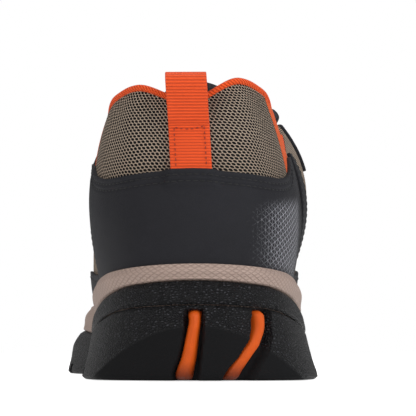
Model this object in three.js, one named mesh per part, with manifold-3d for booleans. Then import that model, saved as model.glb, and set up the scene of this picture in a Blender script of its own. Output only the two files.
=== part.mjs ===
// Low-cut hiking shoe for the right foot, as separate moulded, cut and sewn pieces.
// Millimetres. +Y runs from heel to toe, +X is the lateral side and +Z is up.
// The origin is the centre of the whole shoe's outline, on the ground.
import * as THREE from "three";
import { mergeVertices } from "three/addons/utils/BufferGeometryUtils.js";
import Module from "manifold-3d";

// ---------------------------------------------------------------- driving dimensions
const GAP = 0.5; // clearance between neighbouring pieces

const LAST_LENGTH = 284; // the upper's edge, heel to toe
const BALL_WIDTH = 92; // the upper's edge, across the ball of the foot
const HEEL_WIDTH = 69; // the upper's edge, across the heel
const TOE_SWING = 12; // how far the toe leans to the medial side

const ACHILLES_HEIGHT = 101; // collar edge at the back
const LATERAL_EAR_HEIGHT = 109.5; // collar edge beside the back, lateral
const MEDIAL_EAR_HEIGHT = 107; // the same, medial
const COLLAR_LEAN = 3; // how far the back of the collar leans to the medial side
const THROAT_SHIFT = 1.5; // how far the top of the throat lies to the lateral side
const ANKLE_HEIGHT = 90; // collar edge under the ankle bones
const THROAT_TOP_HEIGHT = 105; // top of the eyestays
const THROAT_BASE_HEIGHT = 70; // bottom of the tongue opening
const TOE_BOX_HEIGHT = 52; // vamp ridge above the toes
const COUNTER_HEIGHT = 76; // heel counter cover at the back

const OUTSOLE_THICKNESS = 7.5;
const OUTSOLE_WALL = 2.4;
const UNDERLAYER_THICKNESS = 1.6;
const HEEL_FLOOR = 27; // midsole floor under the heel
const BALL_FLOOR = 17; // midsole floor under the ball
const MIDSOLE_TOP = 42; // midsole edge at the back
const MIDSOLE_LIP = 2.2; // how far the midsole edge stands out from the upper
const BOARD_THICKNESS = 2;
const FOOTBED_THICKNESS = 5;
const SHANK_THICKNESS = 1.4;
const SHANK_WIDTH = 24;

const FABRIC = 1.2; // outer fabric of the upper
const OVERLAY = 1.5; // synthetic leather sewn over the fabric
const TOE_CAP = 2.2;
const LINING = 1.0;
const COUNTER_STIFFENER = 1.6;
const COLLAR_PADDING = 5.4; // how much thicker the wall is at the collar than at the heel
const ROLL_HEIGHT = 3.2; // soft roll above the collar edge

const WEBBING_WIDTH = 15;
const WEBBING = 1.2;
const PULL_LOOP_RISE = 18; // the pull loop above its stitching
const PULL_EYE = 6.4; // clear width inside the pull loop

const LACE = 3.4; // lace diameter
const LACE_ROOM = 1.65; // clear width inside the lace loops, in lace diameters
const LACE_LOOP_WIDTH = 7;

const INSERT_START = 42; // stations of the orange inserts
const INSERT_END = 54;
const STRAP_START = 62; // stations of the straps over the quarters
const STRAP_END = 71;

const MEDIAL_HEEL = 3; // how much more the sole spreads at the ground, beside the heel
const LATERAL_HEEL = 5.5;
const MEDIAL_SPREAD = 9.5; // the same, beside the ball
const LATERAL_SPREAD = 3;
const HEEL_TREAD_END = -38; // front of the heel tread, along Y
const BALL_TREAD_START = 22; // back of the ball tread, along Y
const TREAD_DEPTH = 4.5;

// ---------------------------------------------------------------- colours
const COLOURS = {
  rubber: [0x232427, 0.75],
  moulded: [0x2a2b2f, 0.55],
  foam: [0xb3a198, 0.7],
  orange: [0xf0601f, 0.65],
  orangeFabric: [0xf0561f, 0.85],
  synthetic: [0x2b2c31, 0.6],
  mesh: [0x8d8075, 0.9],
  board: [0xd8cdb8, 0.9],
  nylon: [0x1c1c1f, 0.4],
  padding: [0xcfcac0, 0.95],
  lace: [0x3a3b40, 0.85],
};

// ---------------------------------------------------------------- small maths
const { PI, abs, cos, hypot, max, min, sin } = Math;
const rad = (degrees) => (degrees * PI) / 180;
const mix = (a, b, t) => a + (b - a) * t;
const vec = (x, y, z) => new THREE.Vector3(x, y, z);

// A smooth curve through [x, value] pairs. It is level at both ends and never overshoots.
function through(...pairs) {
  const slope = pairs.map((_, i) => {
    if (i === 0 || i === pairs.length - 1) return 0;
    const [[x0, y0], [x1, y1], [x2, y2]] = pairs.slice(i - 1, i + 2);
    const before = (y1 - y0) / (x1 - x0);
    const after = (y2 - y1) / (x2 - x1);
    return before * after > 0 ? (2 * before * after) / (before + after) : 0;
  });
  return (x) => {
    if (x <= pairs[0][0]) return pairs[0][1];
    const i = pairs.findIndex((pair) => pair[0] >= x);
    if (i < 0) return pairs[pairs.length - 1][1];
    const [[x0, y0], [x1, y1]] = pairs.slice(i - 1, i + 1);
    const h = x1 - x0;
    const t = (x - x0) / h;
    const rise = (3 - 2 * t) * t * t;
    return mix(y0, y1, rise) + h * t * (1 - t) * (slope[i - 1] * (1 - t) - slope[i] * t);
  };
}

// Values from a to b that hit every key and are at most step apart.
function spread(keys, step) {
  return keys.slice(1).reduce(
    (list, key, i) => {
      const n = Math.ceil((key - keys[i]) / step - 1e-9);
      for (let k = 1; k <= n; k++) list.push(mix(keys[i], key, k / n));
      return list;
    },
    [keys[0]],
  );
}

// ---------------------------------------------------------------- the last
// A station is an angle round the outline: 0 at the back of the heel, 180 at the toe.
// Positive stations are on the lateral side and negative ones on the medial side.
const RIDGE_STATION = 132; // from here to the toe, both sides meet on the vamp's ridge
const wrap = (s) => ((((s + 180) % 360) + 360) % 360) - 180;

const lateralWidth = through(
  [0, 67], [30, 53], [50, 43], [70, 34], [90, 35],
  [110, 46], [125, 52], [145, 57], [160, 62], [180, 66],
);
const medialWidth = through(
  [0, 67], [30, 53], [50, 45], [70, 38], [90, 35],
  [108, 42], [125, 51], [145, 59], [160, 63], [180, 66],
);
const ballShare = through([60, 0], [110, 1]);
const swing = through([0, 0], [60, 0.07], [90, 0.4], [118, 0.78], [150, 0.95], [180, 1]);
const lengthAt = (station) => (-LAST_LENGTH / 2) * cos(rad(station));

// The upper's edge in plan, moved outwards by `out`, at height z.
function edge(s, out, z) {
  const p = edgePoint(s);
  const q = edgePoint(s + 0.5);
  const r = edgePoint(s - 0.5);
  const along = [q.x - r.x, q.y - r.y];
  const size = hypot(...along);
  return vec(p.x + (along[1] / size) * out, p.y - (along[0] / size) * out, z);
}

function edgePoint(s) {
  const w = wrap(s);
  const a = abs(w);
  const side = w < 0 ? -1 : 1;
  const share = ballShare(a);
  const scale = mix(HEEL_WIDTH / 69, BALL_WIDTH / 92, share);
  const half = sin(rad(a)) * scale * (side < 0 ? medialWidth(a) : lateralWidth(a));
  return { x: side * half - TOE_SWING * swing(a), y: lengthAt(a) };
}

const floorHeight = through(
  [0, HEEL_FLOOR], [50, HEEL_FLOOR - 1], [118, BALL_FLOOR],
  [150, BALL_FLOOR + 3], [180, BALL_FLOOR + 8],
);
const toeSpring = through([0, 0], [118, 0], [150, 3], [180, 8.5]);
const upperBase = (a) => floorHeight(a) + BOARD_THICKNESS + 2 * GAP;

// The upper's top line: collar edge, eyestay edge, throat and then the ridge to the toe.
const collarHalf = through(
  [0, 57], [15, 57], [30, 52], [45, 45.5], [60, 39.5], [72, 37], [80, 35],
  [88, 30.5], [100, 23.5], [112, 19.5], [124, 17], [132, 0], [180, 0],
);
const topLength = through(
  [0, -0.958], [15, -0.935], [30, -0.86], [45, -0.74], [60, -0.585], [72, -0.44],
  [80, -0.34], [88, -0.25], [100, -0.11], [112, 0.085], [124, 0.28], [132, 0.36],
  [145, 0.53], [155, 0.65], [165, 0.765], [180, 0.85],
);
const topLine = (ear) => through(
  [0, ACHILLES_HEIGHT],
  [20, ear],
  [32, mix(ear, ANKLE_HEIGHT, 0.12)],
  [45, mix(ear, ANKLE_HEIGHT, 0.42)],
  [62, ANKLE_HEIGHT],
  [70, ANKLE_HEIGHT + 1],
  [84, THROAT_TOP_HEIGHT],
  [90, THROAT_TOP_HEIGHT - 1],
  [112, mix(THROAT_TOP_HEIGHT, THROAT_BASE_HEIGHT, 0.5)],
  [126, THROAT_BASE_HEIGHT + 2],
  [132, THROAT_BASE_HEIGHT - 1],
  [152, mix(THROAT_BASE_HEIGHT, TOE_BOX_HEIGHT, 0.7)],
  [165, TOE_BOX_HEIGHT],
  [180, TOE_BOX_HEIGHT - 3],
);
const lateralTop = topLine(LATERAL_EAR_HEIGHT);
const medialTop = topLine(MEDIAL_EAR_HEIGHT);
const collarShift = through(
  [0, COLLAR_LEAN], [45, COLLAR_LEAN], [62, 0], [80, -THROAT_SHIFT], [95, -THROAT_SHIFT], [130, 0],
);
const topPitch = through([0, 78], [45, 72], [70, 60], [88, 48], [112, 34], [126, 12], [132, 0], [180, 0]);
const ridgeTurn = through([132, 0], [155, 12], [168, 45], [180, 90]);
const ridgeSlope = through([132, 24], [155, 14], [180, 12]);
const sideways = through([40, 0], [100, 1]);
const lowLean = through([0, 0.12], [30, 0.2], [55, 0.27], [80, 0.25], [115, 0.3], [150, 0.22], [180, 0.12]);
const lowReach = through([0, 0.4], [60, 0.4], [90, 0.42], [120, 0.45], [150, 0.5], [180, 0.42]);
const highReach = through([0, 0.33], [45, 0.36], [70, 0.42], [125, 0.42], [150, 0.45], [180, 0.45]);

// The upper's outer surface: v is 0 at the sole edge and 1 on the top line.
function upperPoint(s, v) {
  const w = wrap(s);
  const a = abs(w);
  const side = w < 0 ? -1 : 1;
  const low = edge(w, 0, upperBase(a));
  const out = edge(w, 1, upperBase(a)).sub(low);
  const scale = mix(HEEL_WIDTH / 69, BALL_WIDTH / 92, ballShare(a));
  const top = vec(
    side * sin(rad(a)) * scale * collarHalf(a) - TOE_SWING * swing(a) - collarShift(a),
    (LAST_LENGTH / 2) * topLength(a),
    side < 0 ? medialTop(a) : lateralTop(a),
  );
  const inward = out.clone().negate().lerp(vec(-side, 0, 0), sideways(a)).normalize();
  const pitch = rad(topPitch(a));
  const turn = rad(ridgeTurn(a));
  const slope = rad(ridgeSlope(a));
  const end = inward.multiplyScalar(cos(pitch) * cos(turn));
  end.z += sin(pitch);
  end.add(vec(0, -cos(slope), sin(slope)).multiplyScalar(sin(turn)));
  const start = out.multiplyScalar(lowLean(a)).add(vec(0, 0, 1)).normalize();
  const chord = top.distanceTo(low);
  const curve = new THREE.CubicBezierCurve3(
    low,
    low.clone().addScaledVector(start, lowReach(a) * chord),
    top.clone().addScaledVector(end, -highReach(a) * chord),
    top,
  );
  return curve.getPoint(v);
}

function upperNormal(s, v) {
  const a = abs(wrap(s));
  if (a >= RIDGE_STATION && v > 0.999) {
    const slope = rad(ridgeSlope(a));
    return vec(0, sin(slope), cos(slope));
  }
  const around = upperPoint(s + 0.4, v).sub(upperPoint(s - 0.4, v));
  const up = upperPoint(s, min(1, v + 0.01)).sub(upperPoint(s, max(0, v - 0.01)));
  return around.cross(up).normalize();
}

const onUpper = (s, v, out) => upperPoint(s, v).addScaledVector(upperNormal(s, v), out);

// The v at which the upper's surface reaches height z.
function upAt(s, z) {
  let low = 0;
  let high = 1;
  for (let i = 0; i < 24; i++) {
    const mid = (low + high) / 2;
    if (upperPoint(s, mid).z < z) low = mid;
    else high = mid;
  }
  return (low + high) / 2;
}

// ---------------------------------------------------------------- solids
const wasm = await Module();
wasm.setup();

function geometryOf(points, faces) {
  const geometry = new THREE.BufferGeometry();
  const numbers = points.flatMap((p) => [p.x, p.y, p.z]);
  geometry.setAttribute("position", new THREE.Float32BufferAttribute(numbers, 3));
  geometry.setIndex(faces.flat());
  const merged = mergeVertices(geometry, 1e-3);
  const index = merged.index.array;
  const kept = [];
  for (let i = 0; i < index.length; i += 3) {
    const [a, b, c] = index.slice(i, i + 3);
    if (a !== b && b !== c && c !== a) kept.push(a, b, c);
  }
  merged.setIndex(kept);
  return merged;
}

// Two triangles for the corners a, b, c, d of a face, in order.
const quad = (a, b, c, d) => [[a, b, c], [a, c, d]];

function solid(geometry) {
  const bare = geometry.clone();
  bare.deleteAttribute("normal");
  bare.deleteAttribute("uv");
  const merged = mergeVertices(bare, 1e-3);
  return new wasm.Manifold(
    new wasm.Mesh({
      numProp: 3,
      vertProperties: new Float32Array(merged.attributes.position.array),
      triVerts: new Uint32Array(merged.index.array),
    }),
  );
}

function geometryFrom(manifold) {
  const mesh = manifold.getMesh();
  const geometry = new THREE.BufferGeometry();
  const points = new Float32Array(mesh.numVert * 3);
  for (let i = 0; i < mesh.numVert; i++) {
    points.set(mesh.vertProperties.subarray(i * mesh.numProp, i * mesh.numProp + 3), i * 3);
  }
  geometry.setAttribute("position", new THREE.BufferAttribute(points, 3));
  geometry.setIndex(new THREE.BufferAttribute(new Uint32Array(mesh.triVerts), 1));
  return geometry;
}

// A shell over the grid place(i, j, layer), where layer is 0 inside and 1 outside.
// joined(i) says that the last row lies on the ridge there and meets its other half.
function shell(columns, rows, place, joined = () => false) {
  const points = [];
  for (const layer of [0, 1]) {
    for (let i = 0; i < columns; i++) {
      for (let j = 0; j < rows; j++) points.push(place(i, j, layer));
    }
  }
  const at = (i, j, layer) => layer * columns * rows + i * rows + j;
  const faces = [];
  for (let i = 0; i < columns - 1; i++) {
    for (let j = 0; j < rows - 1; j++) {
      faces.push(...quad(at(i, j, 1), at(i + 1, j, 1), at(i + 1, j + 1, 1), at(i, j + 1, 1)));
      faces.push(...quad(at(i, j, 0), at(i, j + 1, 0), at(i + 1, j + 1, 0), at(i + 1, j, 0)));
    }
    faces.push(...quad(at(i, 0, 0), at(i + 1, 0, 0), at(i + 1, 0, 1), at(i, 0, 1)));
    const j = rows - 1;
    if (!(joined(i) && joined(i + 1))) {
      faces.push(...quad(at(i, j, 1), at(i + 1, j, 1), at(i + 1, j, 0), at(i, j, 0)));
    }
  }
  for (let j = 0; j < rows - 1; j++) {
    const i = columns - 1;
    faces.push(...quad(at(0, j, 0), at(0, j, 1), at(0, j + 1, 1), at(0, j + 1, 0)));
    faces.push(...quad(at(i, j, 0), at(i, j + 1, 0), at(i, j + 1, 1), at(i, j, 1)));
  }
  return geometryOf(points, faces);
}

// The stations of a piece from a to b: just inside both, with the shared grid between them.
function grid(a, b, pitch = 6) {
  const inside = [];
  for (let s = Math.ceil((a + 1) / pitch) * pitch; s < b - 1; s += pitch) inside.push(s);
  return [a + 0.4, ...inside, b - 0.4];
}

// The same, given for the medial side and mirrored for the lateral one.
const sideGrid = (side, a, b) => (side > 0 ? grid(a, b) : grid(-b, -a));

// A sewn piece of the upper over the stations given, from low(s) to high(s), between two offsets.
function panel({ stations, rows, low, high, inner, outer }) {
  const depth = (offset, s, v) => (typeof offset === "function" ? offset(s, v) : offset);
  return shell(
    stations.length,
    rows,
    (i, j, layer) => {
      const s = stations[i];
      const v = mix(low(s), high(s), j / (rows - 1));
      return onUpper(s, v, depth(layer ? outer : inner, s, v));
    },
    (i) => abs(wrap(stations[i])) >= RIDGE_STATION - 1e-6 && high(stations[i]) > 0.9999,
  );
}

// A solid swept through cross-sections. Each section is a list of points that turns the same way.
function sweep(sections) {
  const count = sections[0].length;
  const last = (sections.length - 1) * count;
  const faces = [];
  for (let i = 0; i < sections.length - 1; i++) {
    for (let k = 0; k < count; k++) {
      const n = (k + 1) % count;
      faces.push(...quad(i * count + k, i * count + n, (i + 1) * count + n, (i + 1) * count + k));
    }
  }
  for (let k = 1; k < count - 1; k++) {
    faces.push([0, k + 1, k]);
    faces.push([last, last + k, last + k + 1]);
  }
  return outward(geometryOf(sections.flat(), faces));
}

// The same geometry with its faces pointing out.
function outward(geometry) {
  if (solid(geometry).volume() > 0) return geometry;
  const index = geometry.index.array;
  for (let i = 0; i < index.length; i += 3) {
    [index[i + 1], index[i + 2]] = [index[i + 2], index[i + 1]];
  }
  return geometry;
}

// A sole layer: rings of points round the outline, from the underside up and into the cup.
function layer(rings, step) {
  const half = spread([0, BAND_END, BAND_END + 1, 95, 120, 180], step);
  const stations = [...half, ...half.slice(1, -1).reverse().map((a) => -a)];
  const n = stations.length;
  const h = half.length - 1;
  const points = rings.flatMap((ring) => stations.map((s) => ring(s)));
  const faces = [];
  for (let r = 0; r < rings.length - 1; r++) {
    for (let i = 0; i < n; i++) {
      const k = (i + 1) % n;
      faces.push(...quad(r * n + i, r * n + k, (r + 1) * n + k, (r + 1) * n + i));
    }
  }
  const other = (i) => (n - i) % n;
  const up = (rings.length - 1) * n;
  for (let i = 0; i < h; i++) {
    faces.push(...quad(i, other(i), other(i + 1), i + 1));
    faces.push(...quad(up + i, up + i + 1, up + other(i + 1), up + other(i)));
  }
  return outward(geometryOf(points, faces));
}

// ---------------------------------------------------------------- assembly
const shoe = new THREE.Group();

function add(name, geometry, finish) {
  const [color, roughness] = COLOURS[finish];
  const mesh = new THREE.Mesh(geometry, new THREE.MeshStandardMaterial({ color, roughness, metalness: 0 }));
  mesh.name = name;
  shoe.add(mesh);
  return mesh;
}

// ---------------------------------------------------------------- sole
const BAND_END = 70; // station where the heel band stops on each side

// The top of the outsole's wall. Between the two treads it is the top of the bare underlayer.
const lateralWall = through(
  [0, 27], [20, 26], [35, 22.5], [47, 18.5], [60, 15.5], [70, 14.5], [78, 19], [96, 20], [105, 23], [116, 28],
  [127, 24], [140, 22], [160, 27], [180, 33],
);
const medialWall = through(
  [0, 27], [20, 26], [35, 23], [47, 19], [60, 15.5], [70, 14.5], [78, 18], [96, 18], [106, 19], [116, 20],
  [127, 20], [140, 21], [160, 27], [180, 33],
);
const bandTop = through([0, 36], [20, 34.5], [35, 31], [47, 26.5], [60, 23], [BAND_END, 21.5]);
const lipHeight = through(
  [0, MIDSOLE_TOP], [30, MIDSOLE_TOP - 1.5], [50, MIDSOLE_TOP - 4.5], [75, MIDSOLE_TOP - 7],
  [95, MIDSOLE_TOP - 9], [120, MIDSOLE_TOP - 10], [150, MIDSOLE_TOP - 7], [180, MIDSOLE_TOP - 1],
);
const flare = through([0, 7.8], [8, 6.2], [16, 5.2], [30, 4.8], [45, 4.6]);
const heelSpread = through([12, 0], [30, 1], [60, 1], [76, 0]);
const heelFoot = through([0, 1], [12, 0.8], [32, 0.3]);
const ballSpread = through([84, 0], [118, 1], [145, 0.7], [180, 0]);
const ballFoot = through([0, 1], [12, 1], [30, 0]);

const wallTop = (s) => (wrap(s) < 0 ? medialWall : lateralWall)(abs(wrap(s)));
const ground = (s) => toeSpring(abs(wrap(s)));

// The sole's outer surface, moved inwards. It spreads towards the ground at the heel and the ball.
function skin(s, z, inset = 0) {
  const w = wrap(s);
  const rise = z - ground(s);
  const ball = ballSpread(abs(w)) * ballFoot(rise) * (w < 0 ? MEDIAL_SPREAD : LATERAL_SPREAD);
  const heel = heelSpread(abs(w)) * heelFoot(rise) * (w < 0 ? MEDIAL_HEEL : LATERAL_HEEL);
  return edge(s, flare(rise) + ball + heel - inset, z);
}

const underTop = (s) => min(wallTop(s), floorHeight(abs(wrap(s))) - 1);
const underInset = OUTSOLE_WALL + GAP + UNDERLAYER_THICKNESS;

// All layers of the wall bend at the same heights: here, and at the top of the underlayer.
const knee = (s) => ground(s) + 12;

function outsoleBody() {
  const bend = (s) => min(underTop(s) + GAP, wallTop(s) - 1);
  const rings = [
    (s) => skin(s, ground(s), 6),
    (s) => skin(s, ground(s), 1.2),
    (s) => skin(s, ground(s) + 1.4),
    (s) => skin(s, ground(s) + 7),
    (s) => skin(s, knee(s)),
    (s) => skin(s, bend(s)),
    (s) => skin(s, wallTop(s)),
    (s) => skin(s, wallTop(s), OUTSOLE_WALL),
    (s) => skin(s, bend(s), OUTSOLE_WALL),
    (s) => skin(s, knee(s), OUTSOLE_WALL),
    (s) => skin(s, ground(s) + OUTSOLE_THICKNESS, OUTSOLE_WALL),
  ];
  return solid(layer(rings, 9));
}

function underlayerBody() {
  const low = (s) => ground(s) + OUTSOLE_THICKNESS + GAP;
  const rings = [
    (s) => skin(s, low(s), OUTSOLE_WALL + GAP),
    (s) => skin(s, knee(s), OUTSOLE_WALL + GAP),
    (s) => skin(s, underTop(s), OUTSOLE_WALL + GAP),
    (s) => skin(s, underTop(s), underInset),
    (s) => skin(s, knee(s), underInset),
    (s) => skin(s, low(s) + UNDERLAYER_THICKNESS, underInset),
  ];
  return solid(layer(rings, 9));
}

// The hollow for the upper clears it by more where long facets bow inwards.
const ease = LAST_LENGTH / 284;
const cupGap = through([0, 1.3 * GAP * ease], [140, 1.4 * GAP * ease], [180, 3.4 * GAP * ease]);

function midsoleBody() {
  const low = (s) => ground(s) + OUTSOLE_THICKNESS + UNDERLAYER_THICKNESS + 2 * GAP;
  const step = (s) => (abs(wrap(s)) <= BAND_END ? bandTop(abs(wrap(s))) : wallTop(s)) + GAP;
  const lip = (s) => upAt(s, lipHeight(abs(wrap(s))));
  const rings = [
    (s) => skin(s, low(s), underInset + GAP),
    (s) => skin(s, knee(s), underInset + GAP),
    (s) => skin(s, underTop(s) + GAP, underInset + GAP),
    (s) => skin(s, underTop(s) + GAP, OUTSOLE_WALL + GAP),
    (s) => skin(s, step(s), OUTSOLE_WALL + GAP),
    (s) => skin(s, step(s)),
    (s) => onUpper(s, lip(s), MIDSOLE_LIP),
    (s) => onUpper(s, lip(s), GAP * ease),
    (s) => onUpper(s, lip(s) * 0.75, cupGap(abs(wrap(s)))),
    (s) => onUpper(s, lip(s) * 0.4, cupGap(abs(wrap(s)))),
    (s) => edge(s, GAP, upperBase(abs(wrap(s)))),
    (s) => edge(s, GAP, floorHeight(abs(wrap(s)))),
  ];
  return solid(layer(rings, 9));
}

const stationAt = (y) => (Math.acos(max(-1, min(1, (-2 * y) / LAST_LENGTH))) * 180) / PI;
const floorAt = (y) => floorHeight(stationAt(y));

// A flat bar that follows the midsole floor, from the heel to behind the ball.
function shankBar(grow, rise) {
  const from = -0.33 * LAST_LENGTH - grow;
  const to = 0.06 * LAST_LENGTH + grow;
  const sections = spread([from, to], 15).map((y) => {
    const x = SHANK_WIDTH / 2 + grow;
    const z = floorAt(y) - SHANK_THICKNESS;
    const top = floorAt(y) + rise;
    return [vec(-x, y, z - grow), vec(x, y, z - grow), vec(x, y, top), vec(-x, y, top)];
  });
  return sweep(sections);
}

function box(x0, x1, y0, y1, z0, z1) {
  const geometry = new THREE.BoxGeometry(x1 - x0, y1 - y0, z1 - z0);
  return geometry.translate((x0 + x1) / 2, (y0 + y1) / 2, (z0 + z1) / 2);
}

// The grooves up the back of the heel, and the ribs of the underlayer that show in them.
// Both are given by their middle and their width at each height.
const GROOVES = [
  {
    middle: through([0, -4.6], [9, -2.1], [18, -0.5], [28, -0.3]),
    width: through([0, 12.5], [9, 9], [18, 7.2], [28, 6.3]),
    ribMiddle: through([0, -6], [9, -3], [16, -1.3], [22, -0.2], [28, -0.3]),
    ribWidth: through([0, 6.4], [9, 4.6], [16, 3.4], [21, 2.6], [25, 3.4], [28, 3.2]),
  },
  {
    middle: through([0, 18.4], [9, 22], [17, 23.8], [28, 23.8]),
    width: through([0, 12], [9, 8.6], [17, 7.2], [28, 6.2]),
    ribMiddle: through([0, 16.2], [9, 20], [14, 22.2], [20, 23.9], [28, 23.2]),
    ribWidth: through([0, 5.4], [9, 3.8], [14, 3], [20, 2.6], [25, 3.2], [28, 3]),
  },
];
const GROOVE_TOP = 25.4;

// A slot or a rib up the back of the heel, cut through from behind.
function heelSlot(middle, width, from, to) {
  const heights = spread([from, to], 4.5);
  const sections = [-LAST_LENGTH / 2 - 16, -LAST_LENGTH / 2 + 30].map((y) => [
    ...heights.map((z) => vec(middle(z) - width(z) / 2, y, z)),
    ...heights.toReversed().map((z) => vec(middle(z) + width(z) / 2, y, z)),
  ]);
  const count = sections[0].length;
  const rungs = heights.length - 1;
  const faces = [];
  for (let k = 0; k < count; k++) {
    const n = (k + 1) % count;
    faces.push(...quad(k, n, count + n, count + k));
  }
  for (let r = 0; r < rungs; r++) {
    const cap = [r, r + 1, count - 2 - r, count - 1 - r];
    faces.push(...quad(...cap.toReversed()));
    faces.push(...quad(...cap.map((k) => k + count)));
  }
  return solid(outward(geometryOf(sections.flat(), faces)));
}

// Shallow channels across and along a tread, cut from below.
function treadCuts(from, to, pitch) {
  const cuts = [];
  const count = Math.round((to - from) / pitch);
  for (let i = 1; i < count; i++) {
    const y = from + i * pitch;
    for (const side of [-1, 1]) {
      const bar = new THREE.BoxGeometry(70, 5, 2 * TREAD_DEPTH);
      bar.rotateZ(side * rad(14)).translate(side * 36, y, ground(stationAt(y)));
      cuts.push(solid(bar));
    }
  }
  return cuts;
}

function addSole() {
  const whole = outsoleBody();
  const grooves = GROOVES.map(({ middle, width }) => heelSlot(middle, width, -1, GROOVE_TOP));
  const far = LAST_LENGTH;
  let heel = whole.intersect(solid(box(-far, far, -far, HEEL_TREAD_END, -9, 99)));
  let ball = whole.intersect(solid(box(-far, far, BALL_TREAD_START, far, -9, 99)));
  for (const groove of grooves) heel = heel.subtract(groove);
  for (const cut of treadCuts(-118, HEEL_TREAD_END, 20)) heel = heel.subtract(cut);
  for (const cut of treadCuts(BALL_TREAD_START, 128, 21)) ball = ball.subtract(cut);
  add("heel_outsole", geometryFrom(heel), "rubber");
  add("forefoot_outsole", geometryFrom(ball), "rubber");

  let under = underlayerBody();
  const outer = solid(layer([
    (s) => skin(s, 1.6, 1),
    (s) => skin(s, underTop(s) - 1, 1),
  ], 9));
  const core = solid(layer([
    (s) => skin(s, OUTSOLE_THICKNESS + GAP + UNDERLAYER_THICKNESS / 2, underInset - 0.6),
    (s) => skin(s, 40, underInset - 0.6),
  ], 9));
  const back = solid(box(-far, far, -far, -LAST_LENGTH / 2 + 13, 1.6, 25));
  for (const { ribMiddle, ribWidth } of GROOVES) {
    const rib = heelSlot(ribMiddle, ribWidth, 1, GROOVE_TOP - GAP);
    under = under.add(rib.intersect(outer).intersect(back).subtract(core));
  }
  add("underlayer", geometryFrom(under), "orange");

  const shank = shankBar(0, -0.1);
  const midsole = midsoleBody().subtract(solid(shankBar(GAP, 3)));
  add("midsole", geometryFrom(midsole), "foam");
  add("shank_plate", shank, "nylon");

  const around = spread([-BAND_END + 0.6, BAND_END - 0.6], 9);
  const band = shell(around.length, 3, (i, j, out) => {
    const s = around[i];
    const z = mix(wallTop(s) + GAP, bandTop(abs(s)), j / 2);
    return skin(s, z, out ? 0 : OUTSOLE_WALL);
  });
  add("heel_band", outward(band), "rubber");
}

// ---------------------------------------------------------------- inside the shoe
const heelness = through([0, 1], [60, 1], [80, 0]);
const toeness = through([138, 0], [150, 1]);
const padding = through([0.5, 0], [0.72, 0.9], [0.9, 1], [1, 0.75]);
const INSIDE = FABRIC + GAP; // depth of the back of the outer fabric

// How deep the outer face of the lining lies below the upper's surface.
function liningDepth(s, v) {
  const a = abs(wrap(s));
  const stiff = (COUNTER_STIFFENER + GAP) * max(heelness(a), toeness(a));
  return INSIDE + stiff + COLLAR_PADDING * padding(v) * heelness(a);
}

function addInside() {
  const base = (s) => floorHeight(abs(wrap(s)));
  const board = layer([
    (s) => edge(s, -0.2, base(s) + GAP),
    (s) => edge(s, -0.2, base(s) + GAP + BOARD_THICKNESS),
  ], 9);
  add("insole_board", board, "board");

  const inset = (s) => -(liningDepth(s, 0) + LINING + 2 * GAP + 0.4);
  const low = (s) => upperBase(abs(wrap(s)));
  const footbed = layer([
    (s) => edge(s, inset(s), low(s)),
    (s) => edge(s, inset(s), low(s) + FOOTBED_THICKNESS),
    (s) => edge(s, inset(s) - 6, low(s) + FOOTBED_THICKNESS - 1),
  ], 9);
  add("footbed", footbed, "padding");

  const stiffener = (name, stations, top) =>
    add(name, panel({
      stations,
      rows: 7,
      low: () => 0,
      high: () => top,
      inner: -INSIDE - COUNTER_STIFFENER,
      outer: -INSIDE,
    }), "board");
  stiffener("heel_stiffener", grid(-60, 60), 0.5);
  stiffener("toe_puff", grid(150, 210), 0.7);
  add("collar_foam", panel({
    stations: grid(-66, 66),
    rows: 6,
    low: () => 0.54,
    high: () => 0.995,
    inner: (s, v) => -(liningDepth(s, v) - GAP),
    outer: -INSIDE,
  }), "padding");
  const lining = (name, stations) =>
    add(name, panel({
      stations,
      rows: 10,
      low: () => 0,
      high: () => 1,
      inner: (s, v) => -(liningDepth(s, v) + LINING),
      outer: (s, v) => -liningDepth(s, v),
    }), "synthetic");
  lining("collar_lining", grid(-102, 102));
  lining("vamp_lining", grid(102, 258));
}

// ---------------------------------------------------------------- fabric of the upper
function addFabric() {
  const fabric = (name, stations, finish) =>
    add(name, panel({
      stations,
      rows: 10,
      low: () => 0,
      high: () => 1,
      inner: -FABRIC,
      outer: 0,
    }), finish);
  fabric("rear_mesh_panel", grid(-INSERT_START, INSERT_START), "mesh");
  for (const [name, side] of [["lateral", 1], ["medial", -1]]) {
    fabric("orange_insert_" + name, sideGrid(side, INSERT_START, INSERT_END), "orangeFabric");
    fabric("quarter_mesh_" + name, sideGrid(side, INSERT_END, 108), "mesh");
  }
  fabric("vamp_mesh", grid(108, 252), "mesh");
}

// ---------------------------------------------------------------- overlays
const counterLine = (horn) => through(
  [0, COUNTER_HEIGHT], [28, COUNTER_HEIGHT - 1.6], [39, COUNTER_HEIGHT + 0.6],
  [48, COUNTER_HEIGHT + horn], [54, COUNTER_HEIGHT + horn - 5], [62, COUNTER_HEIGHT - 24],
);
const lateralCounter = counterLine(9);
const medialCounter = counterLine(6.5);
const counterTop = (s) => (s < 0 ? medialCounter : lateralCounter)(abs(s));
const overSole = (s) => upAt(s, lipHeight(abs(wrap(s))) + 1);

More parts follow.
